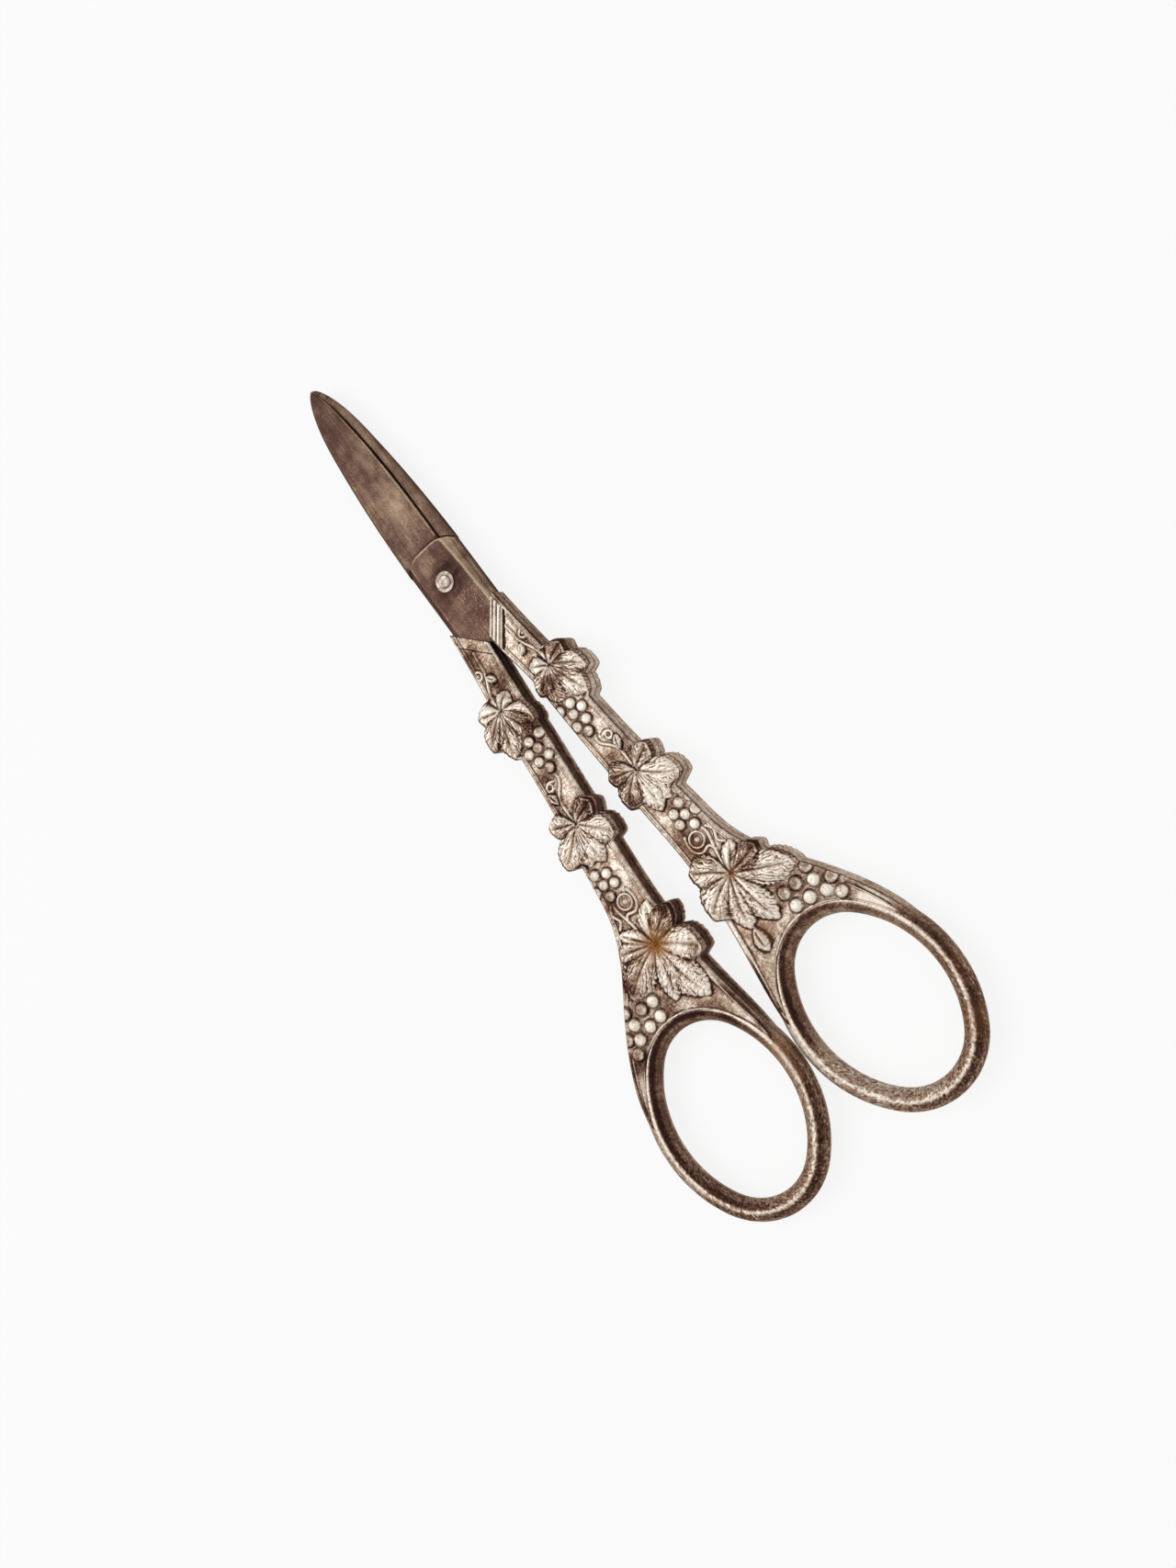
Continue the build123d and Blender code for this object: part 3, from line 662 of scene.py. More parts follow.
def limbGrid(free, held, columns, rounds, collar, side):
    # like the stem's rows, but with a wall on the free edge only; on the ring's side the face dips
    # into the ring and ends on its centre line
    way = held - free
    width = np.maximum(np.hypot(way[:, 0], way[:, 1]), 0.05)[:, None]
    way = way / width
    r = np.minimum(rounds, width * 0.97)
    t = np.concatenate([wallIn + 0 * r, r * (1 - np.cos(edgeArc)), r + (width - r) * np.linspace(0, 1, columns)], 1)
    x = free[:, :1] + way[:, :1] * t
    y = free[:, 1:] + way[:, 1:] * t
    z = stemHeight(x, y, collar, side)
    raiseWall(z, y, rounds)
    sink = smoothStep(-96.5, -100.5, y) * 0.12
    z = np.maximum(z - sink * (z > 0.05), 0)
    return np.stack([x, y, z], -1)


def weld(mesh):
    # joins coincident points, drops collapsed faces and points every face outwards
    work = bmesh.new()
    work.from_mesh(mesh)
    bmesh.ops.remove_doubles(work, verts=work.verts, dist=2e-6)
    bmesh.ops.dissolve_degenerate(work, edges=work.edges, dist=1e-7)
    bmesh.ops.recalc_face_normals(work, faces=work.faces)
    work.to_mesh(mesh)
    work.free()
    mesh.update()


def placed(name, data):
    # a new object in the scene
    thing = bpy.data.objects.new(name, data)
    bpy.context.scene.collection.objects.link(thing)
    return thing


def putPiece(name, points, faces, shadeAndTarnish, rust, body, node, slot, flips):
    # makes the mesh, mirrored left or to the back, welds its parts and turns its faces outwards
    points = points * np.array([-1 if "x" in flips else 1, 1, -1 if "z" in flips else 1])
    mesh = bpy.data.meshes.new(name)
    mesh.from_pydata(toMetres(points).tolist(), [], faces)
    calm = smoothStep(-82, -94, points[:, 1])
    for attribute, values in (("shadeAndTarnish", shadeAndTarnish), ("rust", rust), ("calm", calm)):
        layer = mesh.attributes.new(attribute, "FLOAT", "POINT")
        layer.data.foreach_set("value", values.astype(np.float32))
    piece = placed(name, mesh)
    weld(mesh)
    mesh.shade_smooth()
    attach(piece, body)
    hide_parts(node)
    return piece


# place on the right handle's pattern, size in mm and strength
rustStains = {
    "right": [((9.9, -70.9), 1.5, 0.7), ((7.6, -81.5), 1.8, 0.5), ((7.2, -63.8), 1.8, 0.45),
              ((7.0, -47.5), 1.3, 0.25), ((29.8, -104.0), 3.2, 0.15), ((27.6, -111.7), 2.8, 0.3),
              ((4.4, -40.6), 1.4, 0.2)],
    "left": [((8.4, -71.8), 2.7, 1.4), ((7.2, -64.0), 2.0, 0.4), ((6.9, -54.8), 1.0, 0.5),
             ((4.6, -56.5), 1.0, 0.45), ((2.6, -97.5), 2.4, 0.55),
             ((3.2, -101.5), 1.6, 0.5), ((11.2, -62.5), 1.4, 0.3)],
}


def rustOf(points, side):
    # orange stains round the leaves' hearts and the scroll
    value = np.zeros(len(points))
    for (x, y), size, strength in rustStains[side]:
        far = np.hypot(points[:, 0] - x, points[:, 1] - y)
        value = np.maximum(value, strength * bell(far, size))
    return value


def stamping(grids, side, back):
    # all the parts of one stamping as points, faces and each point's painted shade and tarnish, and rust
    main, innerLimb, outerLimb = grids
    innerWallShade = tarnishAndShade["backInnerWallShade" if back else "innerWallShade"][side]
    outerWallShade = tarnishAndShade["backOuterWallShade" if back else "outerWallShade"][side]
    splitColumn = len(wallUp) + len(edgeArc) + handle["innerColumns"] - 1
    points, faces, top, _ = closedGrid(main, splitColumn)
    faces = faces + top
    parts = [points]
    shadeAndTarnish = [shadeAndTarnishOf(main, innerWallShade, outerWallShade, side).ravel(), np.ones(len(main) * 3)]
    start = len(points)
    # a limb drops to the seam along the ring's centre line, and its back is one strip of quads
    for limb, walls, more, foot in ((innerLimb, (innerWallShade, None), (0, 1), -1),
                                    (outerLimb, (None, outerWallShade), (1, 0), 0)):
        grid = np.pad(limb, ((0, 0), more, (0, 0)), "edge")
        grid[:, foot, 2] = 0
        rows, columns = grid.shape[:2]
        parts.append(grid.reshape(-1, 3))
        shadeAndTarnish.append(np.pad(shadeAndTarnishOf(limb, *walls, side), ((0, 0), more), constant_values=1).ravel())
        faces += quads(rows, columns, start)
        first = start + np.arange(rows) * columns
        last = first + columns - 1
        faces += np.stack([first[:-1], last[:-1], last[1:], first[1:]], -1).tolist()
        faces.append(list(range(start + (rows - 1) * columns, start + rows * columns)))
        start += rows * columns
    tube, normal = bowTube()
    parts.append(tube)
    grain = np.random.default_rng(61).normal(0, tarnishAndShade["ringGrain"], len(tube)) * smoothStep(-96, -106, tube[:, 1])
    shade = ringShadeAndTarnish(tube[:, 0], tube[:, 1], normal, side) + grain
    shadeAndTarnish.append(np.clip(shade, 0, 1) * (tarnishAndShade["backRing"] if back else 1))
    faces += quads(bow["stepsRound"], bow["stepsSection"], start, True, True)
    points = np.concatenate(parts)
    return points, faces, np.concatenate(shadeAndTarnish), rustOf(points, side)


handlePieces = []
for name, side, back, collar, node, flips in (
        ("rightHandleFront", "right", False, True, "right_handle_front", ""),
        ("rightHandleBack", "right", True, False, "right_handle_back", "z"),
        ("leftHandleFront", "left", False, False, "left_handle_front", "x"),
        ("leftHandleBack", "left", True, True, "left_handle_back", "xz")):
    shape = stamping(stampingMesh(collar, side), side, back)
    handlePieces.append(putPiece(name, *shape, side + "_half", node, "handle_metal", flips))
print("handles in place")


# blades
blade = {
    "tipY": 45.1,
    "spine": [(5.6, 5.0), (5.5, 12.0), (5.15, 21.0), (4.45, 30.0), (3.35, 38.0), (2.1, 42.2), (1.15, 44.1),
              (0.48, 44.85), (0.02, 45.1)],
    "edge": [(3.5, 5.0), (3.4, 16.0), (3.1, 24.0), (2.6, 31.0), (1.8, 38.0), (1.18, 41.5), (0.62, 43.8),
             (0.27, 44.75), (0.02, 45.1)],
    "rootTop": 1.95,  # height over the meeting plane, mm
    "tipTop": 0.75,
    "spineBevel": 0.7,
    "edgeBevel": 0.32,
    "plateTop": 2.3,
    "plateHalf": 5.6,
    "plateSide": 0.8,
    "chamferTop": (3.95, 4.95),  # inner edge of the plate's chamfer at the arc and at the vee
    "shoulder": 7.8,  # radius of the arc where the plate ends
    "fade": 9.0,  # over which the shoulder fades on the spine's side
    "veeCorner": (5.7, -7.3),
    "veeTip": -13.62,
    "flat": 0.02,  # the flat side's distance from the meeting plane
    "rowStep": 0.15,
    "columns": 84,
    "wallRows": 4,  # points up each side wall below the face
    "shoulderBulge": 0.42,  # how much less than a circle the shoulder bulges
    "railDepth": 1.6,
    "railTipZ": 0.1,
    "railEnd": 41.0,
    "railGap": 0.15,
    "tang": ((2.9, -9.5), (7.6, -56.0), 1.5, 0.8, 1.3),  # ends, half widths and thickness
}


def bladeSide(points, y):
    # half width of the blade at the height y, from a line of (half width, height) points
    line = smoothLine(points, 0.1)
    return np.interp(y, line[:, 1], line[:, 0])


def topLevel(y):
    # the blade's face sinks evenly from the rivet to the tip
    return blade["rootTop"] + (blade["tipTop"] - blade["rootTop"]) * np.clip(y / blade["tipY"], 0, 1)


def arcReach(x, y):
    # distance from the rivet above it, and from the line down from it below
    return np.hypot(x, np.maximum(y, 0))


def fromRivet(x, y):
    # the same, eased so that the shoulder's arc bulges less than a circle
    return arcReach(x, y) + blade["shoulderBulge"] * bell(x - 0.3, 2.4) * smoothStep(3, 6, y)


def chamferEdge(y):
    # x of the inner edge of the plate's chamfer
    return np.interp(y, (-10, blade["shoulder"]), blade["chamferTop"][::-1])


def bladeGrid():
    # rows from the tip to the rivet are level and then bend into the plate's vee. A row climbs the
    # spine's wall, crosses bevel, face and edge bevel evenly, and goes down the edge's wall. The
    # face is the blade's level beyond the shoulder arc and the plate's level inside it
    row = np.arange(blade["tipY"] - 0.06, blade["veeTip"], -blade["rowStep"])
    arcX = np.sqrt(np.clip(blade["shoulder"] ** 2 - np.maximum(row, 0) ** 2, 0, None))
    right = bladeSide(blade["edge"], row)
    onPlate = np.maximum(right, np.minimum(arcX, blade["plateHalf"]))
    right = np.where(row < blade["shoulder"], onPlate, right)[:, None]
    left = np.where(row < 5, blade["plateHalf"], bladeSide(blade["spine"], row))[:, None]
    share = np.linspace(0, 1, blade["columns"])
    share = share - 0.06 * np.sin(2 * np.pi * share)  # closer together at both edges
    x = -left + (left + right) * share
    vee = smoothStep(2.5, blade["veeTip"], row)[:, None]
    rise = blade["veeCorner"][1] - blade["veeTip"]
    y = row[:, None] + rise * vee * np.abs(x) / blade["veeCorner"][0]
    fromSpine, fromEdge, radius = x + left, right - x, fromRivet(x, y)
    level = topLevel(y)
    bladeZ = level - np.clip(blade["spineBevel"] - fromSpine, 0, None)
    bladeZ = bladeZ - 0.8 * np.clip(blade["edgeBevel"] - fromEdge, 0, None)
    # on the spine's side the face rises gently to the plate, so that the shoulder fades out there
    ramp = smoothStep(blade["shoulder"] + blade["fade"], blade["shoulder"], radius)
    lift = ramp * smoothStep(2.5, -4, x) * smoothStep(0, 1.2, fromSpine)
    bladeZ = bladeZ + (blade["plateTop"] - 0.06 - level) * lift
    slope = (blade["plateTop"] - blade["plateSide"]) / (blade["plateHalf"] - chamferEdge(y))
    plateZ = blade["plateTop"] - slope * np.clip(np.abs(x) - chamferEdge(y), 0, None)
    onArc = smoothStep(blade["shoulder"] + 0.04, blade["shoulder"] - 0.2, radius)
    z = bladeZ + (plateZ - bladeZ) * onArc
    soft = z.copy()
    soft[1:-1, 1:-1] = (z[1:-1, 1:-1] * 2 + z[1:-1, :-2] + z[1:-1, 2:]) / 4
    z = soft + 0.012 * unevenness(x, y, 5, 11)
    top = np.stack([x, y, z], -1)
    foot = top * [1, 1, 0] + [0, 0, blade["flat"]]
    up = np.linspace(0, 1, blade["wallRows"] + 1)[:-1, None]
    spineWall, edgeWall = (foot[:, [k]] + (top - foot)[:, [k]] * up for k in (0, -1))
    top[..., 2] += np.minimum(0.02 * unevenness(x * 0, y, 2.2, 3), 0)  # wear
    return np.concatenate([spineWall, top, edgeWall[:, ::-1]], 1)


def sweptBar(sections):
    # a closed bar: the same loop of corners carried from section to section, capped at both ends
    rows, count = sections.shape[:2]
    ends = [list(range(count)), list(range((rows - 1) * count, rows * count))]
    return sections.reshape(-1, 3), quads(rows, count, 0, False, True) + ends


def railBar():
    # the rail behind the spine: a bevelled strip from the shoulder to near the tip, its low side
    # rising evenly, its top tucked into the blade
    y = np.arange(5.75, blade["railEnd"], 0.25)
    depth = -blade["railDepth"] + (blade["railTipZ"] + blade["railDepth"]) * y / blade["tipY"]
    outer, inner = -bladeSide(blade["spine"], y), -bladeSide(blade["edge"], y) - blade["railGap"]
    inner = np.minimum(inner, -np.sqrt(np.clip((blade["shoulder"] + blade["railGap"]) ** 2 - y**2, 0, None)))
    inner = np.maximum(inner, outer + 0.25)
    bevel = np.minimum(0.28, np.maximum(-depth * 0.4, 0.02))
    zero = np.zeros_like(y)
    corners = [(outer, zero), (outer, depth + bevel * 0.8), (outer + bevel * 0.3, depth + bevel * 0.3),
               (outer + bevel * 0.8, depth), (inner - bevel * 0.9, depth),
               (inner - bevel * 0.25, depth + bevel * 0.25), (inner, depth + bevel * 0.9), (inner, zero),
               (inner - 0.1, zero + 0.3), (outer + 0.12, zero + 0.3)]
    return sweptBar(np.stack([np.stack([x, y, z], -1) for x, z in corners], 1))


def tangBar():
    # the tapered bar inside the handle
    (x0, y0), (x1, y1), wide, narrow, thick = blade["tang"]
    t = np.linspace(0, 1, 12)[:, None]
    run = np.hypot(x1 - x0, y1 - y0)
    half = wide + (narrow - wide) * t
    side = np.array([(y0 - y1) / run, (x1 - x0) / run])
    signs = np.array([-1, 1, 1, -1])
    x = x0 + (x1 - x0) * t + half * signs * side[0]
    y = y0 + (y1 - y0) * t + half * signs * side[1]
    z = blade["flat"] + thick * np.array([0, 0, 1, 1]) * np.ones_like(t)
    return sweptBar(np.stack([x, y, z], -1))


# soft tan patches of the rubbed steel: place, reach across and along, strength
tanPatches = [(0.4, 16.6, 2.9, 5.2, 1.0), (0.9, 38.5, 0.9, 2.4, 0.55), (1.2, 27.5, 1.4, 4.0, 0.45),
              (-2.5, 23.0, 1.5, 5.0, 0.3), (-1.2, 12.0, 2.0, 3.0, 0.35), (-2.0, 4.6, 3.0, 2.4, 0.5),
              (-3.6, -8.0, 2.2, 3.0, 0.15)]


def onChamfer(x, y):
    # 1 on the plate's chamfer at the right, which is painted pale, partly wear and partly painted highlight
    return smoothStep(0, 0.12, x - chamferEdge(y)) * smoothStep(8.1, 7.7, arcReach(x, y))


def tanOf(points):
    # how much of the tan shows: the patches, broken up by a swell, and all of the plate's chamfer, whose paleness is
    # partly wear and partly painted highlight
    x, y, z = points.T
    value = np.zeros(len(points))
    for px, py, across, along, strength in tanPatches:
        value = np.maximum(value, strength * bell(x - px, across) * bell(y - py, along))
    value = value * (0.75 + 0.35 * unevenness(x, y, 3.2, 21))
    dots = np.random.default_rng(41).random(len(points)) > 0.95
    speckled = smoothStep(1, -4, y) * smoothStep(-3, 1, x) + 0.7 * smoothStep(7.9, 8.6, y) * smoothStep(14, 9, y)
    value += 1.1 * dots * speckled * (z > 1)
    return np.clip(np.maximum(value, onChamfer(x, y) * (0.5 + 0.2 * unevenness(x, y, 3.1, 43))), 0, 1)


def bladeShadeAndWear(grid):
    # painted shade in the corner past the shoulder arc and a painted shadow round the rivet, pale along the edges,
    # partly wear and partly painted highlight
    x, y = grid[..., 0], grid[..., 1]
    wall, face = blade["wallRows"], slice(blade["wallRows"], -blade["wallRows"])
    z = np.pad(grid[:, face, 2], ((0, 0), (wall, wall)), "edge")
    # the relief paints shade into the corner past the shoulder arc and a highlight on its crest
    value = 0.5 + 3.6 * (blurred(z, 1) - z) + 1.3 * (blurred(z, 4) - z) - 0.08 * smoothStep(38, 28, y)
    value = value - 0.06 * smoothStep(0, -5, y) + 0.05 * smoothStep(11, 5, y)
    # a painted shadow round the rivet, darker on its right
    rivetShadow = bell(np.hypot(x - 0.5, y - 0.1) - 2.3, 1.3) * (0.7 + 0.4 * unevenness(x, y, 1.7, 51))
    value = value + 0.34 * rivetShadow * (0.65 + 0.35 * smoothStep(-2, 2, x))
    # the chamfer is painted pale, partly wear and partly painted highlight
    chamferWearAndHighlight = 0.31 + 0.09 * unevenness(x, y, 2.9, 47)
    value = value + (chamferWearAndHighlight - value) * onChamfer(x, y)
    # a thin line of painted shadow near the plate's right edge
    value = value + 0.17 * bell(x - 5.26, 0.2) * smoothStep(7.2, 6.0, y)
    # a thin painted highlight along the chamfer's inner edge
    value = value - 0.5 * bell(x - chamferEdge(y), 0.13) * smoothStep(8.1, 7.7, arcReach(x, y))
    value = np.maximum(value, 0.66 * smoothStep(-3.6, -4.4, x) * smoothStep(9, 6, y))
    # a thin pale line along the shoulder arc, partly wear and partly painted highlight
    value = value - 0.3 * bell(fromRivet(x, y) - 7.62, 0.12) * (y > 0) * smoothStep(-4, -1, x)
    value[:, wall:wall + 5] += 0.34 * (y[:, wall:wall + 5] > 9)
    # a painted highlight along the cutting edge's bevel past the shoulder
    value[:, -wall - 5:-wall] -= 0.24 * (y[:, -wall - 5:-wall] > blade["shoulder"])
    value[:, :wall], value[:, -wall:] = 0.62, 0.5
    return np.clip(value, 0, 1)


def wholeBlade():
    # blade and plate, rail and tang as points and faces, with painted shade and wear values and tan values
    grid = bladeGrid()
    points, faces, top, end = closedGrid(grid, grid.shape[1] // 2)
    back = slice(grid.shape[0] * grid.shape[1], len(points))
    points[back, 2] = blade["flat"]
    faces = faces + top + end
    shadeAndTarnish = [bladeShadeAndWear(grid).ravel(), 0.6 - 0.2 * smoothStep(36, 39, points[back, 1])]
    parts, start = [points], len(points)
    for more, moreFaces in (railBar(), tangBar()):
        parts.append(more)
        faces += [[a + start for a in face] for face in moreFaces]
        shadeAndTarnish.append(np.full(len(more), 0.45))
        start += len(more)
    points = np.concatenate(parts)
    paleAndHighlit = tanOf(points)
    paleAndHighlit[back] = 0.4
    rail = (points[:, 2] < 0) & (points[:, 1] > 5)
    paleAndHighlit[rail] = 0.35 + 0.3 * np.clip(unevenness(points[rail, 0], points[rail, 1], 6, 31), -1, 1)
    return points, faces, np.concatenate(shadeAndTarnish), paleAndHighlit


steelShape = wholeBlade()
bladePieces = [
    putPiece("frontBladeSteel", *steelShape, "right_half", "front_blade", "blade_steel", ""),
    putPiece("backBladeSteel", *steelShape, "left_half", "back_blade", "blade_steel", "xz"),
]
print("blades in place")


# materials
def finish(name):
    # a new node material, its tree and its metal shader
    material = bpy.data.materials.new(name)
    material.use_nodes = True
    return material, material.node_tree, material.node_tree.nodes["Principled BSDF"]


def feed(tree, node, values):
    # gives the node's inputs their links, numbers or colours
    for place, value in values.items():
        if isinstance(value, bpy.types.NodeSocket):
            tree.links.new(value, node.inputs[place])
        else:
            node.inputs[place].default_value = (*value, 1) if isinstance(value, tuple) else value


def added(tree, kind, values):
    # a new node with these inputs
    node = tree.nodes.new("ShaderNode" + kind)
    feed(tree, node, values)
    return node


def noise(tree, scale, detail=3.0, rough=0.6, stretch=(1, 1, 1)):
    # noise over the object, stretched along an axis by a Mapping node; the scale counts per metre
    place = tree.nodes.new("ShaderNodeTexCoord").outputs["Object"]
    mapping = added(tree, "Mapping", {"Vector": place})
    mapping.inputs["Scale"].default_value = stretch
    return added(tree, "TexNoise", {"Vector": mapping.outputs["Vector"], "Scale": scale, "Detail": detail,
                                    "Roughness": rough}).outputs["Fac"]


def ramp(tree, value, stops):
    # a colour ramp by places and colours, or greys
    node = added(tree, "ValToRGB", {"Fac": value})
    elements = node.color_ramp.elements
    while len(elements) < len(stops):
        elements.new(0.5)
    for element, (place, colour) in zip(elements, stops):
        element.position = place
        element.color = (*colour, 1) if isinstance(colour, tuple) else (colour, colour, colour, 1)
    return node.outputs["Color"]


def mixed(tree, share, first, second):
    # mixes two colours by a share
    node = tree.nodes.new("ShaderNodeMix")
    node.data_type = "RGBA"
    feed(tree, node, {0: share, 6: first, 7: second})
    return node.outputs[2]


def counted(tree, way, first, second):
    # one sum of two numbers
    node = added(tree, "Math", {0: first, 1: second})
    node.operation = way
    return node.outputs[0]


def painted(tree, name):
    # one of the mesh's own attributes
    node = tree.nodes.new("ShaderNodeAttribute")
    node.attribute_name = name
    return node.outputs["Fac"]


def mottled(tree, patterns, calm=None):
    # the painted shade and tarnish value, swung up and down by each pattern's weight, and by less of it where calm is
    # painted
    wearAndShade = painted(tree, "shadeAndTarnish")
    for pattern, weight, calmed in patterns:
        swing = counted(tree, "MULTIPLY", counted(tree, "SUBTRACT", pattern, 0.5), weight)
        if calmed:
            share = counted(tree, "SUBTRACT", 1.0, counted(tree, "MULTIPLY", calm, calmed))
            swing = counted(tree, "MULTIPLY", swing, share)
        wearAndShade = counted(tree, "ADD", wearAndShade, swing)
    return wearAndShade


def bumped(tree, height, depth):
    # fine roughness of the surface
    return added(tree, "Bump", {"Strength": 1.0, "Distance": depth, "Height": height}).outputs["Normal"]


# colours from pale to dark: the pale end takes the crowns' painted highlight, the dark end the tarnish and painted
# shade in recesses
silver = {
    "bright": (0.78, 0.7, 0.61),
    "body": (0.375, 0.268, 0.19),
    "brown": (0.145, 0.071, 0.046),
    "deep": (0.028, 0.011, 0.009),
    "rust": (0.27, 0.115, 0.035),
}


def shadedTarnishedSilver(name):
    # worn silver plate: bright on the crowns with a painted highlight, brown in the recesses with tarnish and painted
    # shade, darker on walls and ring flanks with painted shade, with blotches, speckle and stains
    material, tree, shader = finish(name)
    fine = noise(tree, 2900, 3, 0.7)
    wearAndShade = mottled(tree, ((noise(tree, 210, 4), 0.8, 0.55), (noise(tree, 950, 2), 0.55, 0.6), (fine, 1.0, 0.1)),
                   painted(tree, "calm"))
    colour = ramp(tree, wearAndShade, [(0.1, silver["bright"]), (0.4, silver["body"]), (0.66, silver["brown"]),
                               (0.95, silver["deep"])])
    stained = counted(tree, "MULTIPLY", painted(tree, "rust"), counted(tree, "ADD", fine, 0.35))
    feed(tree, shader, {
        "Base Color": mixed(tree, stained, colour, silver["rust"]),
        "Roughness": ramp(tree, wearAndShade, [(0.1, 0.32), (0.8, 0.6)]),
        "Specular IOR Level": 0.15,
        "Specular Tint": (0.72, 0.6, 0.5),
        "Metallic": 0.65,
        "Normal": bumped(tree, counted(tree, "ADD", fine, noise(tree, 900, 2)), 0.00005),
    })
    return material


# colours from dark to pale: the pale end takes edges that are partly wear and partly painted highlight
steel = {
    "dark": (0.036, 0.016, 0.013),
    "body": (0.083, 0.043, 0.035),
    "tan": (0.186, 0.113, 0.075),
    "paleAndHighlit": (0.46, 0.34, 0.235),
}


def brownSteel(name):
    # darkened steel: brown, brushed along its length, with tan patches, pale edges that are partly wear and partly
    # painted highlight, a painted shadow round the rivet, and pits
    material, tree, shader = finish(name)
    patch = noise(tree, 320, 5, 0.65)
    streak = noise(tree, 900, 3, 0.6, (3, 0.25, 1))
    speck = noise(tree, 5200, 1)
    wearAndShade = mottled(tree, ((patch, 0.55, 0), (streak, 0.3, 0), (speck, 0.4, 0)))
    colour = ramp(tree, wearAndShade, [(0.12, steel["paleAndHighlit"]), (0.3, steel["tan"]), (0.48, steel["body"]),
                               (0.8, steel["dark"])])
    tanned = counted(tree, "MULTIPLY", painted(tree, "rust"), counted(tree, "ADD", patch, 0.35))
    tanColour = ramp(tree, wearAndShade, [(0.3, steel["paleAndHighlit"]), (0.55, steel["tan"]), (0.85, steel["body"])])
    feed(tree, shader, {
        "Base Color": mixed(tree, tanned, colour, tanColour),
        "Roughness": ramp(tree, wearAndShade, [(0.2, 0.36), (0.8, 0.52)]),
        "Specular IOR Level": 0.15,
        "Specular Tint": (0.6, 0.45, 0.36),
        "Metallic": 0.7,
        "Normal": bumped(tree, counted(tree, "ADD", streak, speck), 0.00004),
    })
    return material


def grainy(name, scale, stops, rough, metallic, depth):
    # a plain finish with a single grain in its colour and its surface
    material, tree, shader = finish(name)
    grain = noise(tree, scale, 4)
    feed(tree, shader, {"Base Color": ramp(tree, grain, stops), "Roughness": rough, "Metallic": metallic,
                        "Normal": bumped(tree, grain, depth)})
    return material


def dress(piece, material):
    # the piece takes this material in every slot
    piece.data.materials.clear()
    piece.data.materials.append(material)


def dressNode(name, material):
    # a carried node keeps its mesh and takes this material
    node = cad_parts[name]
    if not node.data.materials:
        node.data.materials.append(material)
    for slot in node.material_slots:
        slot.material = material


handleFinish = shadedTarnishedSilver("shadedTarnishedSilver")
bladeFinish = brownSteel("brownSteel")
# the rivet and its washers are rubbed steel with a brown tint
rivetFinish = grainy("paleRivet", 1300, [(0.32, (0.12, 0.088, 0.068)), (0.5, (0.27, 0.22, 0.185)),
                                         (0.68, (0.46, 0.4, 0.35))], 0.34, 0.9, 0.00004)
# the filling inside the handles only shows at their mouths
fillingFinish = grainy("dullCement", 1800, [(0.35, (0.11, 0.085, 0.065)), (0.65, (0.22, 0.18, 0.14))],
                       0.95, 0.0, 0.0001)
for piece in handlePieces:
    dress(piece, handleFinish)
for piece in bladePieces:
    dress(piece, bladeFinish)
for name in ("rivet", "front_washer", "back_washer"):
    dressNode(name, rivetFinish)
for name in ("right_handle_filling", "left_handle_filling"):
    dressNode(name, fillingFinish)
print("materials set")

# floor, light and camera
studio = {
    "floorSize": 3.0,
    "floorGlow": 1.06,
    "floorWhite": 0.8,  # share of the glow to the eye; the rest takes the shadow
    "skyForLight": 0.4,
    "lampSize": 0.5,
    "keyPower": 1.5,
    "fillPower": 0.35,
}


def seenAs(tree):
    # 1 to the camera and in reflections, 0 as a light on the object
    rays = tree.nodes.new("ShaderNodeLightPath").outputs
    seen = counted(tree, "MAXIMUM", rays["Is Camera Ray"], rays["Is Glossy Ray"])
    return counted(tree, "MAXIMUM", seen, rays["Is Transmission Ray"])


def pale(strengthForLight):
    # white to the camera and in reflections, dimmer as a light on the object
    world = bpy.data.worlds.new("paleRoom")
    bpy.context.scene.world = world
    world.use_nodes = True
    tree = world.node_tree
    level = counted(tree, "MULTIPLY", seenAs(tree), 1 - strengthForLight)
    level = counted(tree, "ADD", level, strengthForLight)
    feed(tree, tree.nodes["Background"], {"Strength": level, "Color": (1, 1, 1)})


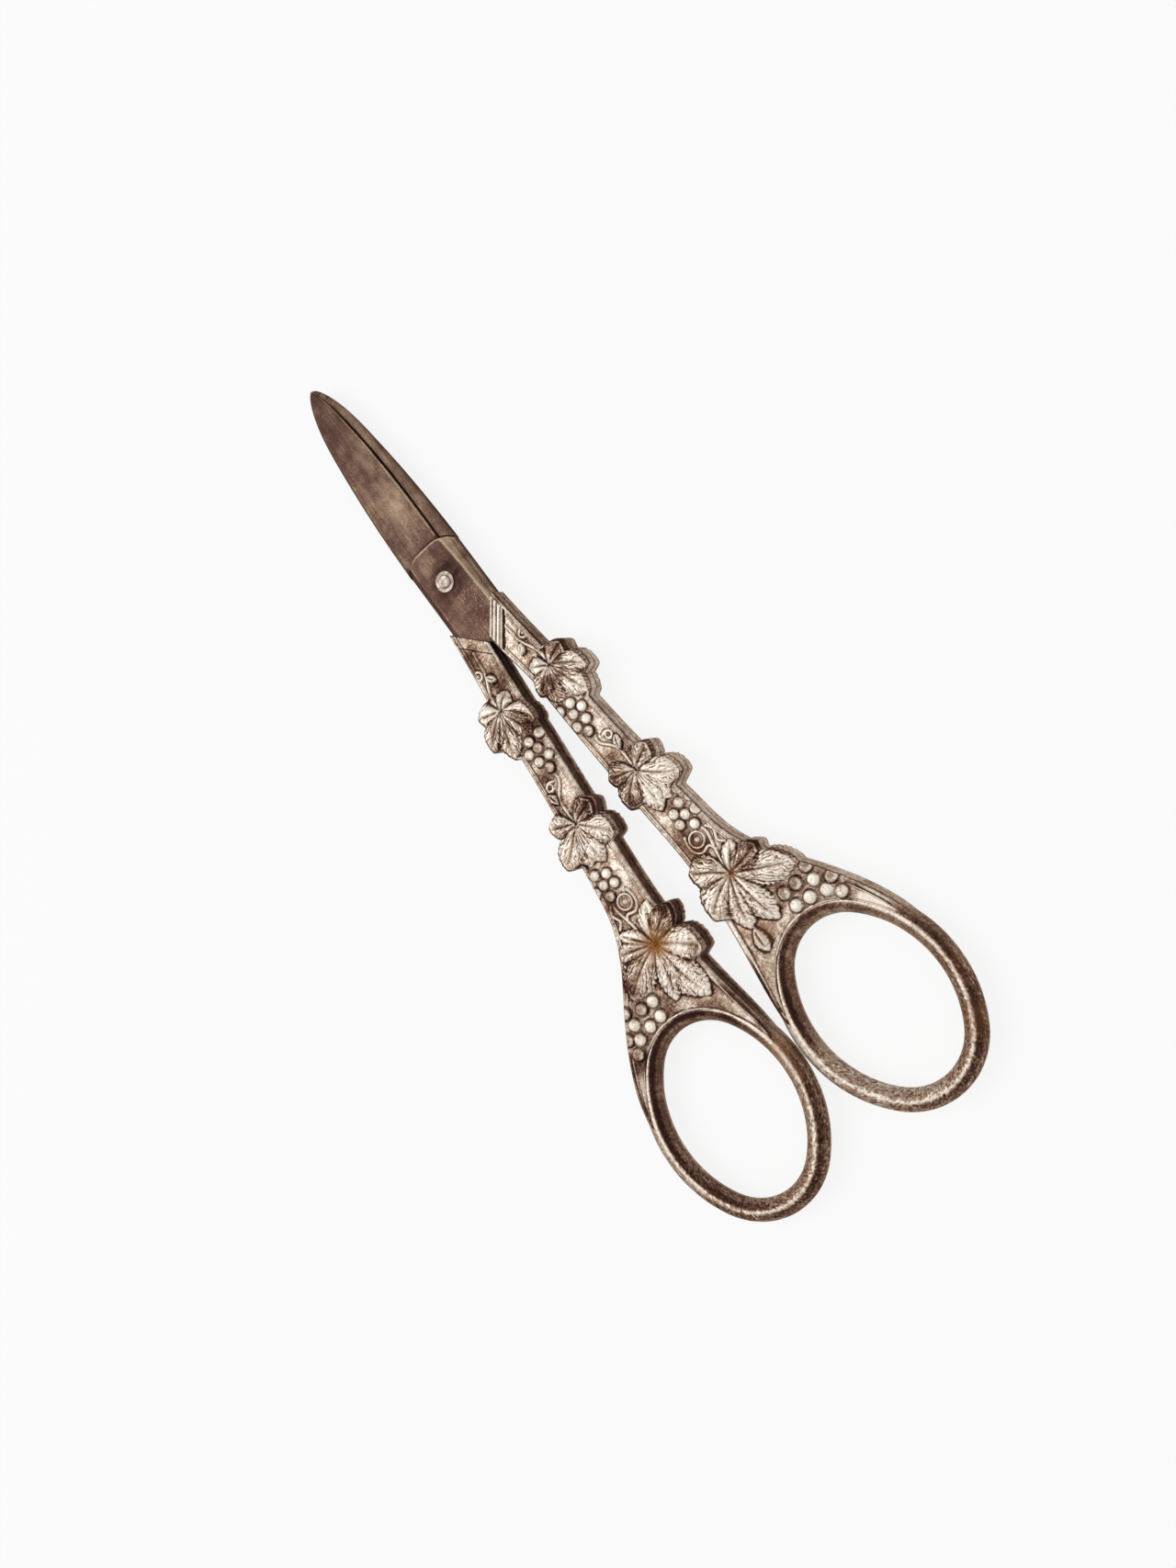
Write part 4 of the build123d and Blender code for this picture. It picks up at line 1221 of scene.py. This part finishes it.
def paleFloor(size):
    # one large plane under the shears: mostly white to the eye, with the soft shadow kept
    half = size / 2
    mesh = bpy.data.meshes.new("floor")
    mesh.from_pydata([(-half, -half, 0), (half, -half, 0), (half, half, 0), (-half, half, 0)], [], [(0, 1, 2, 3)])
    material, tree, shader = finish("paleFloor")
    feed(tree, shader, {"Base Color": (0.9, 0.9, 0.9), "Roughness": 1.0, "Specular IOR Level": 0.0})
    glow = added(tree, "Emission", {"Color": (1, 1, 1), "Strength": studio["floorGlow"]})
    share = counted(tree, "MULTIPLY", seenAs(tree), studio["floorWhite"])
    mix = added(tree, "MixShader", {0: share, 1: shader.outputs[0], 2: glow.outputs[0]})
    feed(tree, tree.nodes["Material Output"], {"Surface": mix.outputs[0]})
    mesh.materials.append(material)
    floor = placed("floor", mesh)


def lamp(name, place, power):
    # a square soft lamp that faces the shears
    light = bpy.data.lights.new(name, "AREA")
    light.shape, light.size, light.energy = "SQUARE", studio["lampSize"], power
    holder = placed(name, light)
    holder.location = place
    holder.rotation_euler = (-Vector(place)).to_track_quat("-Z", "Y").to_euler()


pale(studio["skyForLight"])
paleFloor(studio["floorSize"])
lamp("keyLamp", (-0.35, 0.25, 0.6), studio["keyPower"])
lamp("fillLamp", (0.5, -0.1, 0.45), studio["fillPower"])

cameraPlace = {
    "at": (0.118612, -0.071852, 0.263597),
    "target": (-0.002162, -0.005733, 0.00305),
    "roll": -36.508,  # degrees about the view
    "lens": 53.44,
}


def photoCamera():
    # the photograph's camera: back along its view, first level and then rolled about it
    view = bpy.data.cameras.new("camera")
    view.sensor_fit, view.sensor_width, view.lens = "HORIZONTAL", 36, cameraPlace["lens"]
    view.clip_start, view.clip_end = 0.01, 10
    camera = placed("camera", view)
    back = (Vector(cameraPlace["at"]) - Vector(cameraPlace["target"])).normalized()
    level = Vector((0, 1, 0)).cross(back).normalized()
    up = back.cross(level)
    roll = math.radians(cameraPlace["roll"])
    right = level * math.cos(roll) + up * math.sin(roll)
    upwards = up * math.cos(roll) - level * math.sin(roll)
    camera.matrix_world = Matrix.Translation(cameraPlace["at"]) @ Matrix((right, upwards, back)).transposed().to_4x4()
    bpy.context.scene.camera = camera


photoCamera()
bpy.context.scene.view_settings.view_transform = "Standard"
print("stage set")
